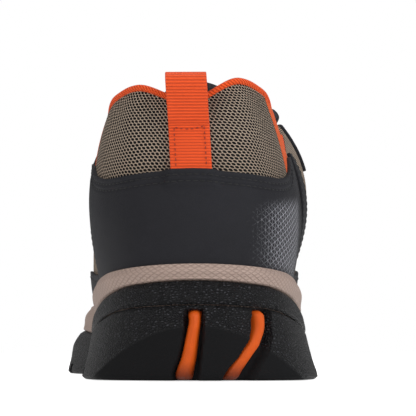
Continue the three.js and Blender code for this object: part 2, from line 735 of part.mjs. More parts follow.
function addOverlays() {
  const overlay = (name, stations, low, high, rows, finish = "synthetic", thick = OVERLAY) =>
    add(name, panel({ stations, rows, low, high, inner: GAP + 0.15, outer: GAP + thick }), finish);
  overlay("heel_counter", grid(-60, 60, 3), overSole, (s) => upAt(s, counterTop(s)), 6);
  const eyestayFoot = through([84, 0.76], [126, 0.84]);
  const guardTop = through([96, 0.24], [118, 0.34], [144, 0.36]);
  const capTop = through([144, 0.38], [154, 0.56], [164, 0.66], [180, 0.62]);
  for (const [name, side] of [["lateral", 1], ["medial", -1]]) {
    overlay("strap_" + name, sideGrid(side, STRAP_START, STRAP_END), overSole, () => 0.95, 8);
    overlay("eyestay_" + name, sideGrid(side, 82, 126), (s) => eyestayFoot(abs(s)), () => 1, 4);
    overlay("mudguard_" + name, sideGrid(side, 96, 144), overSole, (s) => guardTop(abs(s)), 4);
  }
  overlay("toe_cap", grid(144, 216), overSole, (s) => capTop(abs(wrap(s))), 6, "rubber", TOE_CAP);
}

// A soft roll along the collar edge.
function addCollarRoll() {
  const sections = grid(-78, 78).map((s) => {
    const deep = liningDepth(s, 1) + LINING;
    const up = upperPoint(s, 1).sub(upperPoint(s, 0.97)).normalize();
    const at = (out, rise) => onUpper(s, 1, out).addScaledVector(up, rise);
    return [
      at(0.3, 1.4 * GAP),
      at(0.9, ROLL_HEIGHT * 0.5),
      at(-0.6, ROLL_HEIGHT * 0.92),
      at(-deep / 2, ROLL_HEIGHT * 1.05),
      at(-deep + 0.6, ROLL_HEIGHT * 0.9),
      at(-deep - 0.5, ROLL_HEIGHT * 0.45),
      at(-deep - 0.1, 1.4 * GAP),
    ];
  });
  add("collar_roll", sweep(sections), "orangeFabric");
}

// ---------------------------------------------------------------- pull tab
const TAB_OFFSET = 1.6; // the foot of the tab lies this far to the medial side
const TAB_LEAN = 0.06; // sideways lean for each unit of height
const tabFoot = COUNTER_HEIGHT + 1;
const tabHinge = ACHILLES_HEIGHT - 8;

// A ribbon of webbing along points in the YZ plane, with its outer face on the left of the path.
function ribbon(path, thick, width) {
  const shift = (i, d) => {
    const a = path[max(0, i - 1)];
    const b = path[min(path.length - 1, i + 1)];
    const t = b.clone().sub(a).normalize();
    return path[i].clone().add(vec(0, -t.z * d, t.y * d));
  };
  const sections = path.map((_, i) => {
    const near = shift(i, 0);
    const far = shift(i, thick);
    const middle = -TAB_LEAN * (path[i].z - tabFoot) - TAB_OFFSET;
    const left = middle - width / 2;
    const right = middle + width / 2;
    return [
      vec(left, near.y, near.z),
      vec(right, near.y, near.z),
      vec(right, far.y, far.z),
      vec(left, far.y, far.z),
    ];
  });
  return sweep(sections);
}

function addPullTab() {
  const back = (z, out) => onUpper(0, upAt(0, z), out).setX(0);
  const base = spread([tabFoot, tabHinge], 6).map((z) => back(z, GAP));
  add("pull_tab_base", ribbon(base, 2 * WEBBING, WEBBING_WIDTH), "orangeFabric");

  const root = back(tabHinge, GAP);
  const top = tabHinge + PULL_LOOP_RISE;
  const half = PULL_EYE / 2;
  const rise = top - half - WEBBING;
  const bend = (t) => vec(0, root.y + 0.4 - half - half * cos(PI * t), rise + half * sin(PI * t));
  const outer = [vec(0, root.y - 1.7, root.z + 2 * GAP), vec(0, root.y - 2.9, root.z + 5)];
  const turn = [0, 0.2, 0.4, 0.6, 0.8, 1].map(bend);
  const inner = [vec(0, root.y - 1.4, root.z + 5), vec(0, root.y - 1, root.z + 2 * GAP)];
  const loop = [...outer, ...turn, ...inner];
  add("pull_loop", ribbon(loop, WEBBING, WEBBING_WIDTH), "orangeFabric");
}

// ---------------------------------------------------------------- tongue
const TONGUE_FOOT = 124;
const TONGUE_HEAD = 88;
const TONGUE_RISE = 14;

// Across the throat at a station: t is 0 on the medial edge and 1 on the lateral edge.
function tongueRow(a, depth, count) {
  const limb = (side) => {
    const s = side * a;
    const far = onUpper(s, 0.9, -depth);
    const near = onUpper(s, 0.995, -depth);
    const lead = near.clone().sub(far).normalize();
    return { far, near, lead };
  };
  const left = limb(-1);
  const right = limb(1);
  const span = left.near.distanceTo(right.near);
  const arch = new THREE.CubicBezierCurve3(
    left.near,
    left.near.clone().addScaledVector(left.lead, span * 0.3),
    right.near.clone().addScaledVector(right.lead, span * 0.3),
    right.near,
  ).getPoints(count);
  return [left.far, ...arch, right.far];
}

function addTongue() {
  const stations = grid(TONGUE_HEAD, TONGUE_FOOT).reverse();
  const thick = through([TONGUE_HEAD, 6], [105, 4.5], [TONGUE_FOOT, 2.5]);
  const depth = FABRIC + LINING + 3 * GAP;
  const rows = stations.map((a) => [tongueRow(a, depth + thick(a), 8), tongueRow(a, depth, 8)]);
  // The foot of the tongue lies under the vamp, where it is sewn down.
  const foot = rows[0];
  const slope = rad(ridgeSlope(RIDGE_STATION));
  for (const reach of [6, 12]) {
    const tucked = (p) => vec(mix(p.x, -TOE_SWING * swing(RIDGE_STATION), 0.12), p.y, p.z)
      .addScaledVector(vec(0, cos(slope), -sin(slope)), reach)
      .add(vec(0, 0, -1.2));
    rows.unshift(foot.map((row) => row.map(tucked)));
  }
  const lift = vec(0, -0.45, 0.89);
  const crown = rows[rows.length - 1];
  const middle = -TOE_SWING * swing(TONGUE_HEAD);
  for (const [rise, narrow] of [[0.2, 0.8], [0.6, 0.74], [1, 0.62]]) {
    const lifted = (p) => {
      const moved = p.clone().addScaledVector(lift, rise * TONGUE_RISE);
      return moved.setX(middle + (p.x - middle) * narrow);
    };
    rows.push(crown.map((row) => row.map(lifted)));
  }
  const across = rows[0][0].length;
  const tongue = shell(rows.length, across, (i, j, out) => rows[i][out][j]);
  add("tongue", outward(tongue), "synthetic");
}

// ---------------------------------------------------------------- lace loops and lace
const LOOP_STATIONS = [120, 112.5, 105, 97.5, 90];
const loopRadius = (LACE * LACE_ROOM) / 2;

// The eye of the lace loop at a station: its centre, the way along the edge, and the way across.
function eye(s) {
  const edgeWay = upperPoint(s - 1, 1).sub(upperPoint(s + 1, 1)).normalize();
  const across = upperPoint(s, 1).sub(upperPoint(s, 0.94)).normalize();
  const out = upperNormal(s, 0.99);
  const centre = upperPoint(s, 1)
    .addScaledVector(across, loopRadius + 0.6)
    .addScaledVector(out, loopRadius + GAP + OVERLAY - 0.2);
  return { centre, edgeWay: wrap(s) < 0 ? edgeWay.negate() : edgeWay, across, out };
}

// A lace loop: a ribbon that comes up over the eyestay and turns once round the eye.
function laceLoop(s) {
  const { centre, edgeWay, across, out } = eye(s);
  const rest = 2 * GAP + OVERLAY + 0.1;
  const shift = edgeWay.clone().multiplyScalar(LACE_LOOP_WIDTH / 2);
  const section = (near, far) => [
    near.clone().sub(shift),
    near.clone().add(shift),
    far.clone().add(shift),
    far.clone().sub(shift),
  ];
  const round = (radius, angle) => centre.clone()
    .addScaledVector(across, radius * cos(rad(angle)))
    .addScaledVector(out, radius * sin(rad(angle)));
  const tail = [0.9, 0.95, 1].map((v) => section(onUpper(s, v, rest), onUpper(s, v, rest + WEBBING)));
  const turn = spread([235, 540], 45).map((angle) => section(
    round(loopRadius + WEBBING, angle),
    round(loopRadius, angle),
  ));
  return sweep([...tail, ...turn]);
}

function addLacing() {
  for (const [name, side] of [["lateral", 1], ["medial", -1]]) {
    LOOP_STATIONS.forEach((a, i) => add(`lace_loop_${name}_${i + 1}`, laceLoop(side * a), "synthetic"));
  }
  const spots = [];
  const pass = (s, rise) => {
    const { centre, edgeWay } = eye(s);
    for (const e of [-7, -3.5, 0, 3.5, 7]) spots.push(centre.clone().addScaledVector(edgeWay, e * rise));
  };
  const cross = (from, to, raise) => {
    const mid = eye(from).centre.add(eye(to).centre).multiplyScalar(0.5);
    mid.z += raise;
    spots.push(mid);
  };
  const top = LOOP_STATIONS.length - 1;
  for (let k = top; k >= 0; k--) {
    const side = (top - k) % 2 ? 1 : -1;
    pass(side * LOOP_STATIONS[k], -1);
    if (k > 0) cross(side * LOOP_STATIONS[k], -side * LOOP_STATIONS[k - 1], 7.5);
  }
  const endSide = top % 2 ? 1 : -1;
  cross(endSide * LOOP_STATIONS[0], -endSide * LOOP_STATIONS[0], 2.5);
  for (let k = 0; k <= top; k++) {
    const side = -endSide * (k % 2 ? -1 : 1);
    pass(side * LOOP_STATIONS[k], 1);
    if (k < top) cross(side * LOOP_STATIONS[k], -side * LOOP_STATIONS[k + 1], 3);
  }
  const path = new THREE.CatmullRomCurve3(spots, false, "centripetal");
  add("lace", cord(path, spots.length, LACE / 2), "lace");
}

// A round cord along a curve through a number of spots.
function cord(path, spotCount, radius) {
  const count = (spotCount - 1) * 2;
  let side = vec(0, 0, 1);
  const sections = [];
  for (let i = 0; i <= count; i++) {
    const p = path.getPoint(i / count);
    const along = path.getTangent(i / count);
    side = side.clone().addScaledVector(along, -side.dot(along)).normalize();
    const other = along.clone().cross(side);
    const ring = [];
    for (let k = 0; k < 6; k++) {
      const angle = (k * PI) / 3;
      const spoke = side.clone().multiplyScalar(cos(angle)).addScaledVector(other, sin(angle));
      ring.push(p.clone().addScaledVector(spoke, radius));
    }
    sections.push(ring);
  }
  return sweep(sections);
}

addSole();
addInside();
addFabric();
addOverlays();
addCollarRoll();
addPullTab();
addTongue();
addLacing();

// The origin is the middle of the outline, on the ground.
const outline = new THREE.Box3().setFromObject(shoe);
const middle = outline.getCenter(vec(0, 0, 0));
shoe.position.set(-middle.x, -middle.y, -outline.min.z);

export default shoe;
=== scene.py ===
"""A low-cut hiking shoe, right foot: the finished look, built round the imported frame.

Sizes are in millimetres until a mesh is written, and metres from there on.
+Y runs from heel to toe, +X is the lateral side, +Z is up."""

import math

import bmesh
import bpy
import numpy as np
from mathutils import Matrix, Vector


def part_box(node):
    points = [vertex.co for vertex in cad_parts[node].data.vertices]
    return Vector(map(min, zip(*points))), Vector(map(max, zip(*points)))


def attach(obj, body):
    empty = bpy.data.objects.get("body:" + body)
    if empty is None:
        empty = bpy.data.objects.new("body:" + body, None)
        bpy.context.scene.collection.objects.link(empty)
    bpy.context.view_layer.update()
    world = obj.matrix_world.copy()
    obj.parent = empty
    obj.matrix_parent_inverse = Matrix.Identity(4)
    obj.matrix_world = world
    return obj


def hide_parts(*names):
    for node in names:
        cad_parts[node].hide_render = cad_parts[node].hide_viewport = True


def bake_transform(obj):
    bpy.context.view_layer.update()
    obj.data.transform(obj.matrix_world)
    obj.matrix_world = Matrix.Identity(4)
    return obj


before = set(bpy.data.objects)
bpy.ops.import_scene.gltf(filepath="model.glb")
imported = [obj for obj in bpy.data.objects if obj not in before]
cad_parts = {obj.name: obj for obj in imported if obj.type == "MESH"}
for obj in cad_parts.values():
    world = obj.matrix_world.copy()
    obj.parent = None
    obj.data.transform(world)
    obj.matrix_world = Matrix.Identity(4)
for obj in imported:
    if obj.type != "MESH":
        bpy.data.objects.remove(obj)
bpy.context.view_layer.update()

bl_info = {
    "name": "Hiking shoe",
    "version": (1, 0, 0),
    "blender": (4, 5, 0),
    "location": "View3D > Sidebar > Shoe",
    "description": "Builds the pieces of a low-cut hiking shoe round its frame",
    "category": "Object",
}

MM = 0.001

# ---------------------------------------------------------------- the last
# These are the driving sizes of the frame.
LAST_LENGTH = 284.0
TOE_SWING = 12.0
HEEL_FLOOR = 27.0
BALL_FLOOR = 17.0
BOARD = 2.0
GAP = 0.5
MIDSOLE_TOP = 42.0
ACHILLES = 101.0
LATERAL_EAR = 109.5
MEDIAL_EAR = 107.0
COLLAR_LEAN = 3.0
ANKLE = 90.0
THROAT_TOP = 105.0
THROAT_BASE = 70.0
TOE_BOX = 52.0
COUNTER = 76.0
FABRIC = 1.2
OVERLAY = 1.5
RIDGE = 132.0

# The shank lies along the last's own middle, so it gives the shift from the last to the frame.
_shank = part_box("shank_plate")
SHIFT_X = (_shank[0].x + _shank[1].x) / 2 / MM
SHIFT_Y = (_shank[0].y + _shank[1].y) / 2 / MM - LAST_LENGTH * (0.06 - 0.33) / 2


def through(*pairs):
    """A smooth curve through (x, value) pairs, level at both ends, that never overshoots."""
    xs = np.array([p[0] for p in pairs], float)
    ys = np.array([p[1] for p in pairs], float)
    slope = np.zeros(len(xs))
    for i in range(1, len(xs) - 1):
        before = (ys[i] - ys[i - 1]) / (xs[i] - xs[i - 1])
        after = (ys[i + 1] - ys[i]) / (xs[i + 1] - xs[i])
        if before * after > 0:
            slope[i] = 2 * before * after / (before + after)

    def value(x):
        x = np.clip(np.asarray(x, float), xs[0], xs[-1])
        i = np.clip(np.searchsorted(xs, x, side="left"), 1, len(xs) - 1)
        h = xs[i] - xs[i - 1]
        t = (x - xs[i - 1]) / h
        rise = (3 - 2 * t) * t * t
        bend = h * t * (1 - t) * (slope[i - 1] * (1 - t) - slope[i] * t)
        return ys[i - 1] + (ys[i] - ys[i - 1]) * rise + bend

    return value


def mix(a, b, t):
    return a + (b - a) * t


def wrap(s):
    return np.mod(np.asarray(s, float) + 180, 360) - 180


def unit(v):
    return v / np.maximum(np.linalg.norm(v, axis=-1, keepdims=True), 1e-9)


lateral_width = through(
    (0, 67), (30, 53), (50, 43), (70, 34), (90, 35), (110, 46), (125, 52), (145, 57), (160, 62), (180, 66)
)
medial_width = through(
    (0, 67), (30, 53), (50, 45), (70, 38), (90, 35), (108, 42), (125, 51), (145, 59), (160, 63), (180, 66)
)
floor_height = through(
    (0, HEEL_FLOOR), (50, HEEL_FLOOR - 1), (118, BALL_FLOOR), (150, BALL_FLOOR + 3), (180, BALL_FLOOR + 8)
)
toe_spring = through((0, 0), (118, 0), (150, 3), (180, 8.5))
collar_half = through(
    (0, 57), (15, 57), (30, 52), (45, 45.5), (60, 39.5), (72, 37), (80, 35), (88, 30.5), (100, 23.5),
    (112, 19.5), (124, 17), (132, 0), (180, 0),
)
top_length = through(
    (0, -0.958), (15, -0.935), (30, -0.86), (45, -0.74), (60, -0.585), (72, -0.44), (80, -0.34), (88, -0.25),
    (100, -0.11), (112, 0.085), (124, 0.28), (132, 0.36), (145, 0.53), (155, 0.65), (165, 0.765), (180, 0.85),
)


def top_line(ear):
    return through(
        (0, ACHILLES), (20, ear), (32, mix(ear, ANKLE, 0.12)), (45, mix(ear, ANKLE, 0.42)),
        (62, ANKLE), (70, ANKLE + 1), (84, THROAT_TOP), (90, THROAT_TOP - 1),
        (112, mix(THROAT_TOP, THROAT_BASE, 0.5)), (126, THROAT_BASE + 2), (132, THROAT_BASE - 1),
        (152, mix(THROAT_BASE, TOE_BOX, 0.7)), (165, TOE_BOX), (180, TOE_BOX - 3),
    )


lateral_top, medial_top = top_line(LATERAL_EAR), top_line(MEDIAL_EAR)
collar_shift = through((0, COLLAR_LEAN), (45, COLLAR_LEAN), (62, 0), (80, -1.5), (95, -1.5), (130, 0))
swing = through((0, 0), (60, 0.07), (90, 0.4), (118, 0.78), (150, 0.95), (180, 1))
top_pitch = through((0, 78), (45, 72), (70, 60), (88, 48), (112, 34), (126, 12), (132, 0), (180, 0))
ridge_turn = through((132, 0), (155, 12), (168, 45), (180, 90))
ridge_slope = through((132, 24), (155, 14), (180, 12))
low_lean = through((0, 0.12), (30, 0.2), (55, 0.27), (80, 0.25), (115, 0.3), (150, 0.22), (180, 0.12))
low_reach = through((0, 0.4), (60, 0.4), (90, 0.42), (120, 0.45), (150, 0.5), (180, 0.42))
high_reach = through((0, 0.33), (45, 0.36), (70, 0.42), (90, 0.42), (125, 0.42), (150, 0.45), (180, 0.45))
side_blend = through((40, 0), (100, 1))


def base_height(a):
    return floor_height(a) + BOARD + 2 * GAP


def edge_xy(s):
    w = wrap(s)
    a = np.abs(w)
    side = np.where(w < 0, -1.0, 1.0)
    half = np.sin(np.radians(a)) * np.where(side < 0, medial_width(a), lateral_width(a))
    x = side * half - TOE_SWING * swing(a)
    return np.stack([x, -LAST_LENGTH / 2 * np.cos(np.radians(a))], -1)


def edge(s, out, z):
    """The upper's edge in plan, moved outwards, at height z."""
    s, out, z = np.broadcast_arrays(np.asarray(s, float), out, z)
    along = unit(edge_xy(s + 0.5) - edge_xy(s - 0.5))
    p = edge_xy(s)
    return np.stack([p[..., 0] + along[..., 1] * out, p[..., 1] - along[..., 0] * out, z], -1)


def upper_point(s, v):
    """The upper's outer surface: v is 0 at the sole edge and 1 on the top line."""
    s, v = np.broadcast_arrays(np.asarray(s, float), np.asarray(v, float))
    w = wrap(s)
    a = np.abs(w)
    side = np.where(w < 0, -1.0, 1.0)
    low = edge(w, 0, base_height(a))
    out = edge(w, 1, base_height(a)) - low
    top = np.stack(
        [
            side * np.sin(np.radians(a)) * collar_half(a) - TOE_SWING * swing(a) - collar_shift(a),
            LAST_LENGTH / 2 * top_length(a),
            np.where(side < 0, medial_top(a), lateral_top(a)),
        ],
        -1,
    )
    across = np.stack([-side, np.zeros_like(side), np.zeros_like(side)], -1)
    inward = unit(-out + (across + out) * side_blend(a)[..., None])
    pitch, turn, slope = (np.radians(f(a)) for f in (top_pitch, ridge_turn, ridge_slope))
    end = inward * (np.cos(pitch) * np.cos(turn))[..., None]
    end[..., 2] += np.sin(pitch)
    end += np.stack([np.zeros_like(slope), -np.cos(slope), np.sin(slope)], -1) * np.sin(turn)[..., None]
    start = out * low_lean(a)[..., None]
    start[..., 2] += 1
    start = unit(start)
    chord = np.linalg.norm(top - low, axis=-1)
    c1 = low + start * (low_reach(a) * chord)[..., None]
    c2 = top - end * (high_reach(a) * chord)[..., None]
    t = v[..., None]
    return low * (1 - t) ** 3 + 3 * c1 * t * (1 - t) ** 2 + 3 * c2 * t * t * (1 - t) + top * t ** 3


def upper_normal(s, v):
    s, v = np.broadcast_arrays(np.asarray(s, float), np.asarray(v, float))
    around = upper_point(s + 0.4, v) - upper_point(s - 0.4, v)
    up = upper_point(s, np.minimum(1, v + 0.01)) - upper_point(s, np.maximum(0, v - 0.01))
    n = unit(np.cross(around, up))
    a = np.abs(wrap(s))
    slope = np.radians(ridge_slope(a))
    ridge = np.stack([np.zeros_like(slope), np.sin(slope), np.cos(slope)], -1)
    return np.where(((a >= RIDGE) & (v > 0.999))[..., None], ridge, n)


def on_upper(s, v, out):
    out = np.asarray(out, float)
    return upper_point(s, v) + upper_normal(s, v) * (out[..., None] if out.ndim else out)


def up_at(s, z):
    """The v at which the upper reaches height z."""
    s, z = np.broadcast_arrays(np.asarray(s, float), np.asarray(z, float))
    low, high = np.zeros(s.shape), np.ones(s.shape)
    for _ in range(24):
        mid = (low + high) / 2
        below = upper_point(s, mid)[..., 2] < z
        low, high = np.where(below, mid, low), np.where(below, high, mid)
    return (low + high) / 2


# ---------------------------------------------------------------- the sole's levels
BAND_END = 70.0
OUTSOLE = 7.5
OUTSOLE_WALL = 2.4
UNDERLAYER = 1.6

lateral_wall = through(
    (0, 27), (20, 26), (35, 22.5), (47, 18.5), (60, 15.5), (70, 14.5), (78, 19), (96, 20), (105, 23),
    (116, 28),
    (127, 24), (140, 22), (160, 27), (180, 33),
)
medial_wall = through(
    (0, 27), (20, 26), (35, 23), (47, 19), (60, 15.5), (70, 14.5), (78, 18), (96, 18), (106, 19), (116, 20),
    (127, 20), (140, 21), (160, 27), (180, 33),
)
band_top = through((0, 36), (20, 34.5), (35, 31), (47, 26.5), (60, 23), (BAND_END, 21.5))
lip_height = through(
    (0, MIDSOLE_TOP), (30, MIDSOLE_TOP - 1.5), (50, MIDSOLE_TOP - 4.5), (75, MIDSOLE_TOP - 7),
    (95, MIDSOLE_TOP - 9), (120, MIDSOLE_TOP - 10), (150, MIDSOLE_TOP - 7), (180, MIDSOLE_TOP - 1),
)
flare = through((0, 7.8), (8, 6.2), (16, 5.2), (30, 4.8), (45, 4.6))
MEDIAL_HEEL = 3.0
LATERAL_HEEL = 5.5
MEDIAL_SPREAD = 9.5
LATERAL_SPREAD = 3.0
heel_spread = through((12, 0), (30, 1), (60, 1), (76, 0))
heel_foot = through((0, 1), (12, 0.8), (32, 0.3))
ball_spread = through((84, 0), (118, 1), (145, 0.7), (180, 0))
ball_foot = through((0, 1), (12, 1), (30, 0))


def wall_top(s):
    w = wrap(s)
    return np.where(w < 0, medial_wall(np.abs(w)), lateral_wall(np.abs(w)))


def ground(s):
    return toe_spring(np.abs(wrap(s)))


def skin(s, z, inset=0.0):
    """The sole's outer surface, moved inwards."""
    s, z = np.broadcast_arrays(np.asarray(s, float), np.asarray(z, float))
    a, rise = np.abs(wrap(s)), z - ground(s)
    ball = ball_spread(a) * np.where(wrap(s) < 0, MEDIAL_SPREAD, LATERAL_SPREAD)
    heel = heel_spread(a) * np.where(wrap(s) < 0, MEDIAL_HEEL, LATERAL_HEEL)
    spread = ball * ball_foot(rise) + heel * heel_foot(rise)
    return edge(s, flare(rise) + spread - inset, z)


# ---------------------------------------------------------------- meshes
def to_frame(points):
    return (np.asarray(points, float) + np.array([SHIFT_X, SHIFT_Y, 0.0])) * MM


def activate(obj):
    bpy.ops.object.select_all(action="DESELECT")
    bpy.context.view_layer.objects.active = obj
    obj.select_set(True)


def modify(obj, kind, **settings):
    """Adds a modifier to a piece and applies it."""
    activate(obj)
    modifier = obj.modifiers.new(kind.title(), kind)
    for key, value in settings.items():
        setattr(modifier, key, value)
    bpy.ops.object.modifier_apply(modifier=modifier.name)


def weld(obj, distance=0.00002):
    mesh = bmesh.new()
    mesh.from_mesh(obj.data)
    bmesh.ops.remove_doubles(mesh, verts=mesh.verts, dist=distance)
    mesh.to_mesh(obj.data)
    mesh.free()


def smooth(obj, angle=40.0):
    activate(obj)
    bpy.ops.object.shade_smooth_by_angle(angle=math.radians(angle))


def finish(obj, body, material, nodes=(), angle=40.0):
    """Gives a piece its shading, its material, and its place in the frame."""
    smooth(obj, angle)
    obj.data.materials.clear()
    obj.data.materials.append(material)
    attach(obj, body)
    if nodes:
        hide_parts(*nodes)
    return obj


def sheet_grid(name, points, uv):
    """A grid primitive laid over points[i][j], with its UV map in millimetres."""
    nu, nv = points.shape[:2]
    bpy.ops.mesh.primitive_grid_add(x_subdivisions=nu - 1, y_subdivisions=nv - 1, size=1)
    obj = bpy.context.object
    obj.name = name
    obj.data.name = name
    co = np.empty(len(obj.data.vertices) * 3)
    obj.data.vertices.foreach_get("co", co)
    co = co.reshape(-1, 3)
    i = np.rint((co[:, 0] + 0.5) * (nu - 1)).astype(int)
    j = np.rint((co[:, 1] + 0.5) * (nv - 1)).astype(int)
    obj.data.vertices.foreach_set("co", to_frame(points[i, j]).ravel())
    loops = np.empty(len(obj.data.loops), int)
    obj.data.loops.foreach_get("vertex_index", loops)
    layer = obj.data.uv_layers[0]
    layer.data.foreach_set("uv", uv[i[loops], j[loops]].ravel())
    obj.data.update()
    return obj


def lengths(points, axis):
    """Distance along a grid of points, in one of its two ways, as a running sum."""
    step = np.linalg.norm(np.diff(points, axis=axis), axis=-1)
    pad = [(0, 0), (0, 0)]
    pad[axis] = (1, 0)
    return np.cumsum(np.pad(step, pad), axis=axis)


def surface_uv(points, stations):
    """Millimetres round the shoe from the back, and millimetres up it, for a piece of the upper."""
    around = lengths(points, 0)
    middle = around.shape[1] // 2
    u = around[:, middle] - np.interp(0, stations, around[:, middle])
    v = lengths(points, 1)
    return np.stack([np.broadcast_to(u[:, None], v.shape), v], -1)


def panel(name, a, b, low, high, outer, thick, step=1.0, rise=1.5, edge_round=0.35, even=True):
    """A cut and sewn piece of the upper, from station a to b and from low(s) to high(s).
    Its side seams a and b may each be given as a function of v."""
    first, last = (seam(0.0) if callable(seam) else seam for seam in (a, b))
    stations = np.linspace(first, last, max(3, int(round((last - first) / step)) + 1))
    lows = np.broadcast_to(low(stations), stations.shape)
    highs = np.broadcast_to(high(stations), stations.shape)
    tall = np.max(highs - lows) * 85
    t = np.linspace(0, 1, max(3, int(round(tall / rise)) + 1))
    v = lows[:, None] + (highs - lows)[:, None] * t[None, :]
    begin, end = (seam(v) if callable(seam) else seam for seam in (a, b))
    share = (stations - first) / (last - first)
    s = begin + (end - begin) * share[:, None] + 0 * v
    out = outer(s, v) if callable(outer) else np.full(v.shape, outer)
    points = on_upper(s, v, out)
    obj = sheet_grid(name, points, surface_uv(points, stations))
    weld(obj)
    modify(obj, "SOLIDIFY", thickness=thick * MM, offset=-1.0, use_even_offset=even)
    if edge_round:
        sharp = math.radians(50)
        modify(obj, "BEVEL", width=edge_round * MM, segments=2, limit_method="ANGLE", angle_limit=sharp)
    return obj


def constant(value):
    return lambda s: np.full(np.shape(s), float(value))


# ---------------------------------------------------------------- materials
def linear(colour):
    """A colour given as 0 to 255 display values, as linear light."""
    c = np.array(colour, float) / 255
    low = c / 12.92
    high = ((c + 0.055) / 1.055) ** 2.4
    return (*np.where(c <= 0.04045, low, high), 1.0)


class Finish:
    """A material under construction. Vectors are in millimetres."""

    def __init__(self, name, roughness=0.6):
        self.material = bpy.data.materials.new(name)
        self.material.use_nodes = True
        self.nodes = self.material.node_tree.nodes
        self.links = self.material.node_tree.links
        self.shader = self.nodes["Principled BSDF"]
        self.shader.inputs["Roughness"].default_value = roughness

    def node(self, kind, values=(), **settings):
        made = self.nodes.new(kind)
        for key, value in settings.items():
            setattr(made, key, value)
        for key, value in dict(values).items():
            self.put(made.inputs[key], value)
        return made

    def put(self, socket, value):
        if isinstance(value, bpy.types.NodeSocket):
            self.links.new(value, socket)
        else:
            socket.default_value = value

    def math(self, operation, *values, clamp=False):
        return self.node("ShaderNodeMath", enumerate(values), operation=operation, use_clamp=clamp).outputs[0]

    def place(self, source="Object", scale=(1, 1, 1), turn=(0, 0, 0), shift=(0, 0, 0)):
        """The piece's own place in millimetres, or its UV map, which already is."""
        vector = self.node("ShaderNodeTexCoord").outputs[source]
        factor = 1000.0 if source == "Object" else 1.0
        full = [factor * x for x in scale]
        return self.node("ShaderNodeMapping", {0: vector, 1: shift, 2: turn, 3: full}).outputs[0]

    def split(self, vector):
        return self.node("ShaderNodeSeparateXYZ", {0: vector}).outputs

    def join(self, x, y, z=0.0):
        return self.node("ShaderNodeCombineXYZ", {0: x, 1: y, 2: z}).outputs[0]

    def noise(self, vector, scale, detail=3.0, rough=0.55):
        values = {"Vector": vector, "Scale": scale, "Detail": detail, "Roughness": rough}
        return self.node("ShaderNodeTexNoise", values).outputs[0]

    def cells(self, vector, scale, feature="F1", spread=1.0):
        values = {"Vector": vector, "Scale": scale, "Randomness": spread}
        return self.node("ShaderNodeTexVoronoi", values, feature=feature).outputs["Distance"]

    def band(self, value, low, high):
        """0 below low and 1 above high, smoothly; the other way round if low is above high."""
        values = {"Value": value, "From Min": low, "From Max": high}
        return self.node("ShaderNodeMapRange", values, interpolation_type="SMOOTHSTEP").outputs[0]

    def blend(self, factor, first, second):
        made = self.node("ShaderNodeMix", data_type="RGBA")
        for index, value in ((0, factor), (6, first), (7, second)):
            self.put(made.inputs[index], value)
        return made.outputs[2]

    def shade(self, factor, colour, dark=0.8, light=1.15):
        """The colour, varied in brightness by factor."""
        first = tuple(dark * c for c in colour[:3]) + (1.0,)
        second = tuple(min(1.0, light * c) for c in colour[:3]) + (1.0,)
        return self.blend(factor, first, second)

    def bump(self, height, depth, before=None):
        """A relief of that many millimetres from a height of 0 to 1."""
        values = {"Height": height, "Distance": depth * MM, "Strength": 1.0}
        if before is not None:
            values["Normal"] = before
        return self.node("ShaderNodeBump", values).outputs[0]

    def done(self, colour, roughness=None, normal=None, **constants):
        self.put(self.shader.inputs["Base Color"], colour)
        if roughness is not None:
            self.put(self.shader.inputs["Roughness"], roughness)
        if normal is not None:
            self.put(self.shader.inputs["Normal"], normal)
        for key, value in constants.items():
            self.shader.inputs[key.replace("_", " ")].default_value = value
        return self.material


# Near-black for the openings of the meshes: partly the dark backing behind them, partly painted shade inside
# them.
DARK_BACKING_AND_SHADE = linear((11, 10, 11))


def paint(name):
    """A colour from the add-on's own settings."""
    return tuple(getattr(bpy.context.scene.shoe_colours, name))


def rubber(name="rubber_pebbled", heel_arch=False):
    """Black rubber with a pebbled skin, with painted shade between the pebbles and a painted highlight on
    their crowns. On the heel, the facet below the arch is plain and painted dark as shade.
    """
    f = Finish(name)
    pebbles = f.cells(f.place(scale=(0.74, 0.74, 1.15)), 1.0, "DISTANCE_TO_EDGE")
    dome = f.band(pebbles, 0.0, 0.3)
    # Painted highlight: the crowns of the pebbles are lighter, as if lit from above.
    crown_highlight = f.math("MULTIPLY", f.band(pebbles, 0.22, 0.5), 0.4)
    fine = f.noise(f.place(), 2.5, 4)
    dust = f.noise(f.place(), 0.06, 4)
    matt = 0.36
    if heel_arch:
        x, y, z = f.split(f.place(shift=(-SHIFT_X, 0, 0)))
        arch = f.math("SUBTRACT", 19.5, f.math("MULTIPLY", f.math("MULTIPLY", x, x), 0.0125))
        above = f.band(f.math("SUBTRACT", z, arch), -0.6, 0.8)
        ahead = f.band(y, -128, -120)
        mask = f.math("MAXIMUM", above, ahead)
        # Away from the pebbles the domes all but vanish, so the heel facet below the arch gets the painted
        # shade and none of the painted highlight.
        dome = f.math("MULTIPLY", dome, f.math("ADD", 0.06, f.math("MULTIPLY", mask, 0.94)))
        crown_highlight = f.math("MULTIPLY", crown_highlight, mask)
        matt = f.math("SUBTRACT", 0.8, f.math("MULTIPLY", mask, 0.44))
    colour = f.shade(dust, paint("rubber"), 0.75, 1.3)
    colour = f.blend(f.math("MULTIPLY", f.band(fine, 0.6, 0.85), 0.06), colour, linear((104, 98, 92)))
    # Painted shade: darker in the gaps between the pebbles, and over the whole plain facet on the heel.
    colour = f.blend(f.math("MULTIPLY", f.math("SUBTRACT", 1.0, dome), 0.75), colour, linear((9, 9, 10)))
    # The painted highlight goes onto the pebble crowns here.
    colour = f.blend(crown_highlight, colour, linear((92, 92, 98)))
    normal = f.bump(fine, 0.04, f.bump(dome, 0.6))
    rough = f.math("ADD", matt, f.math("MULTIPLY", fine, 0.15))
    return f.done(colour, rough, normal, Specular_IOR_Level=0.2)


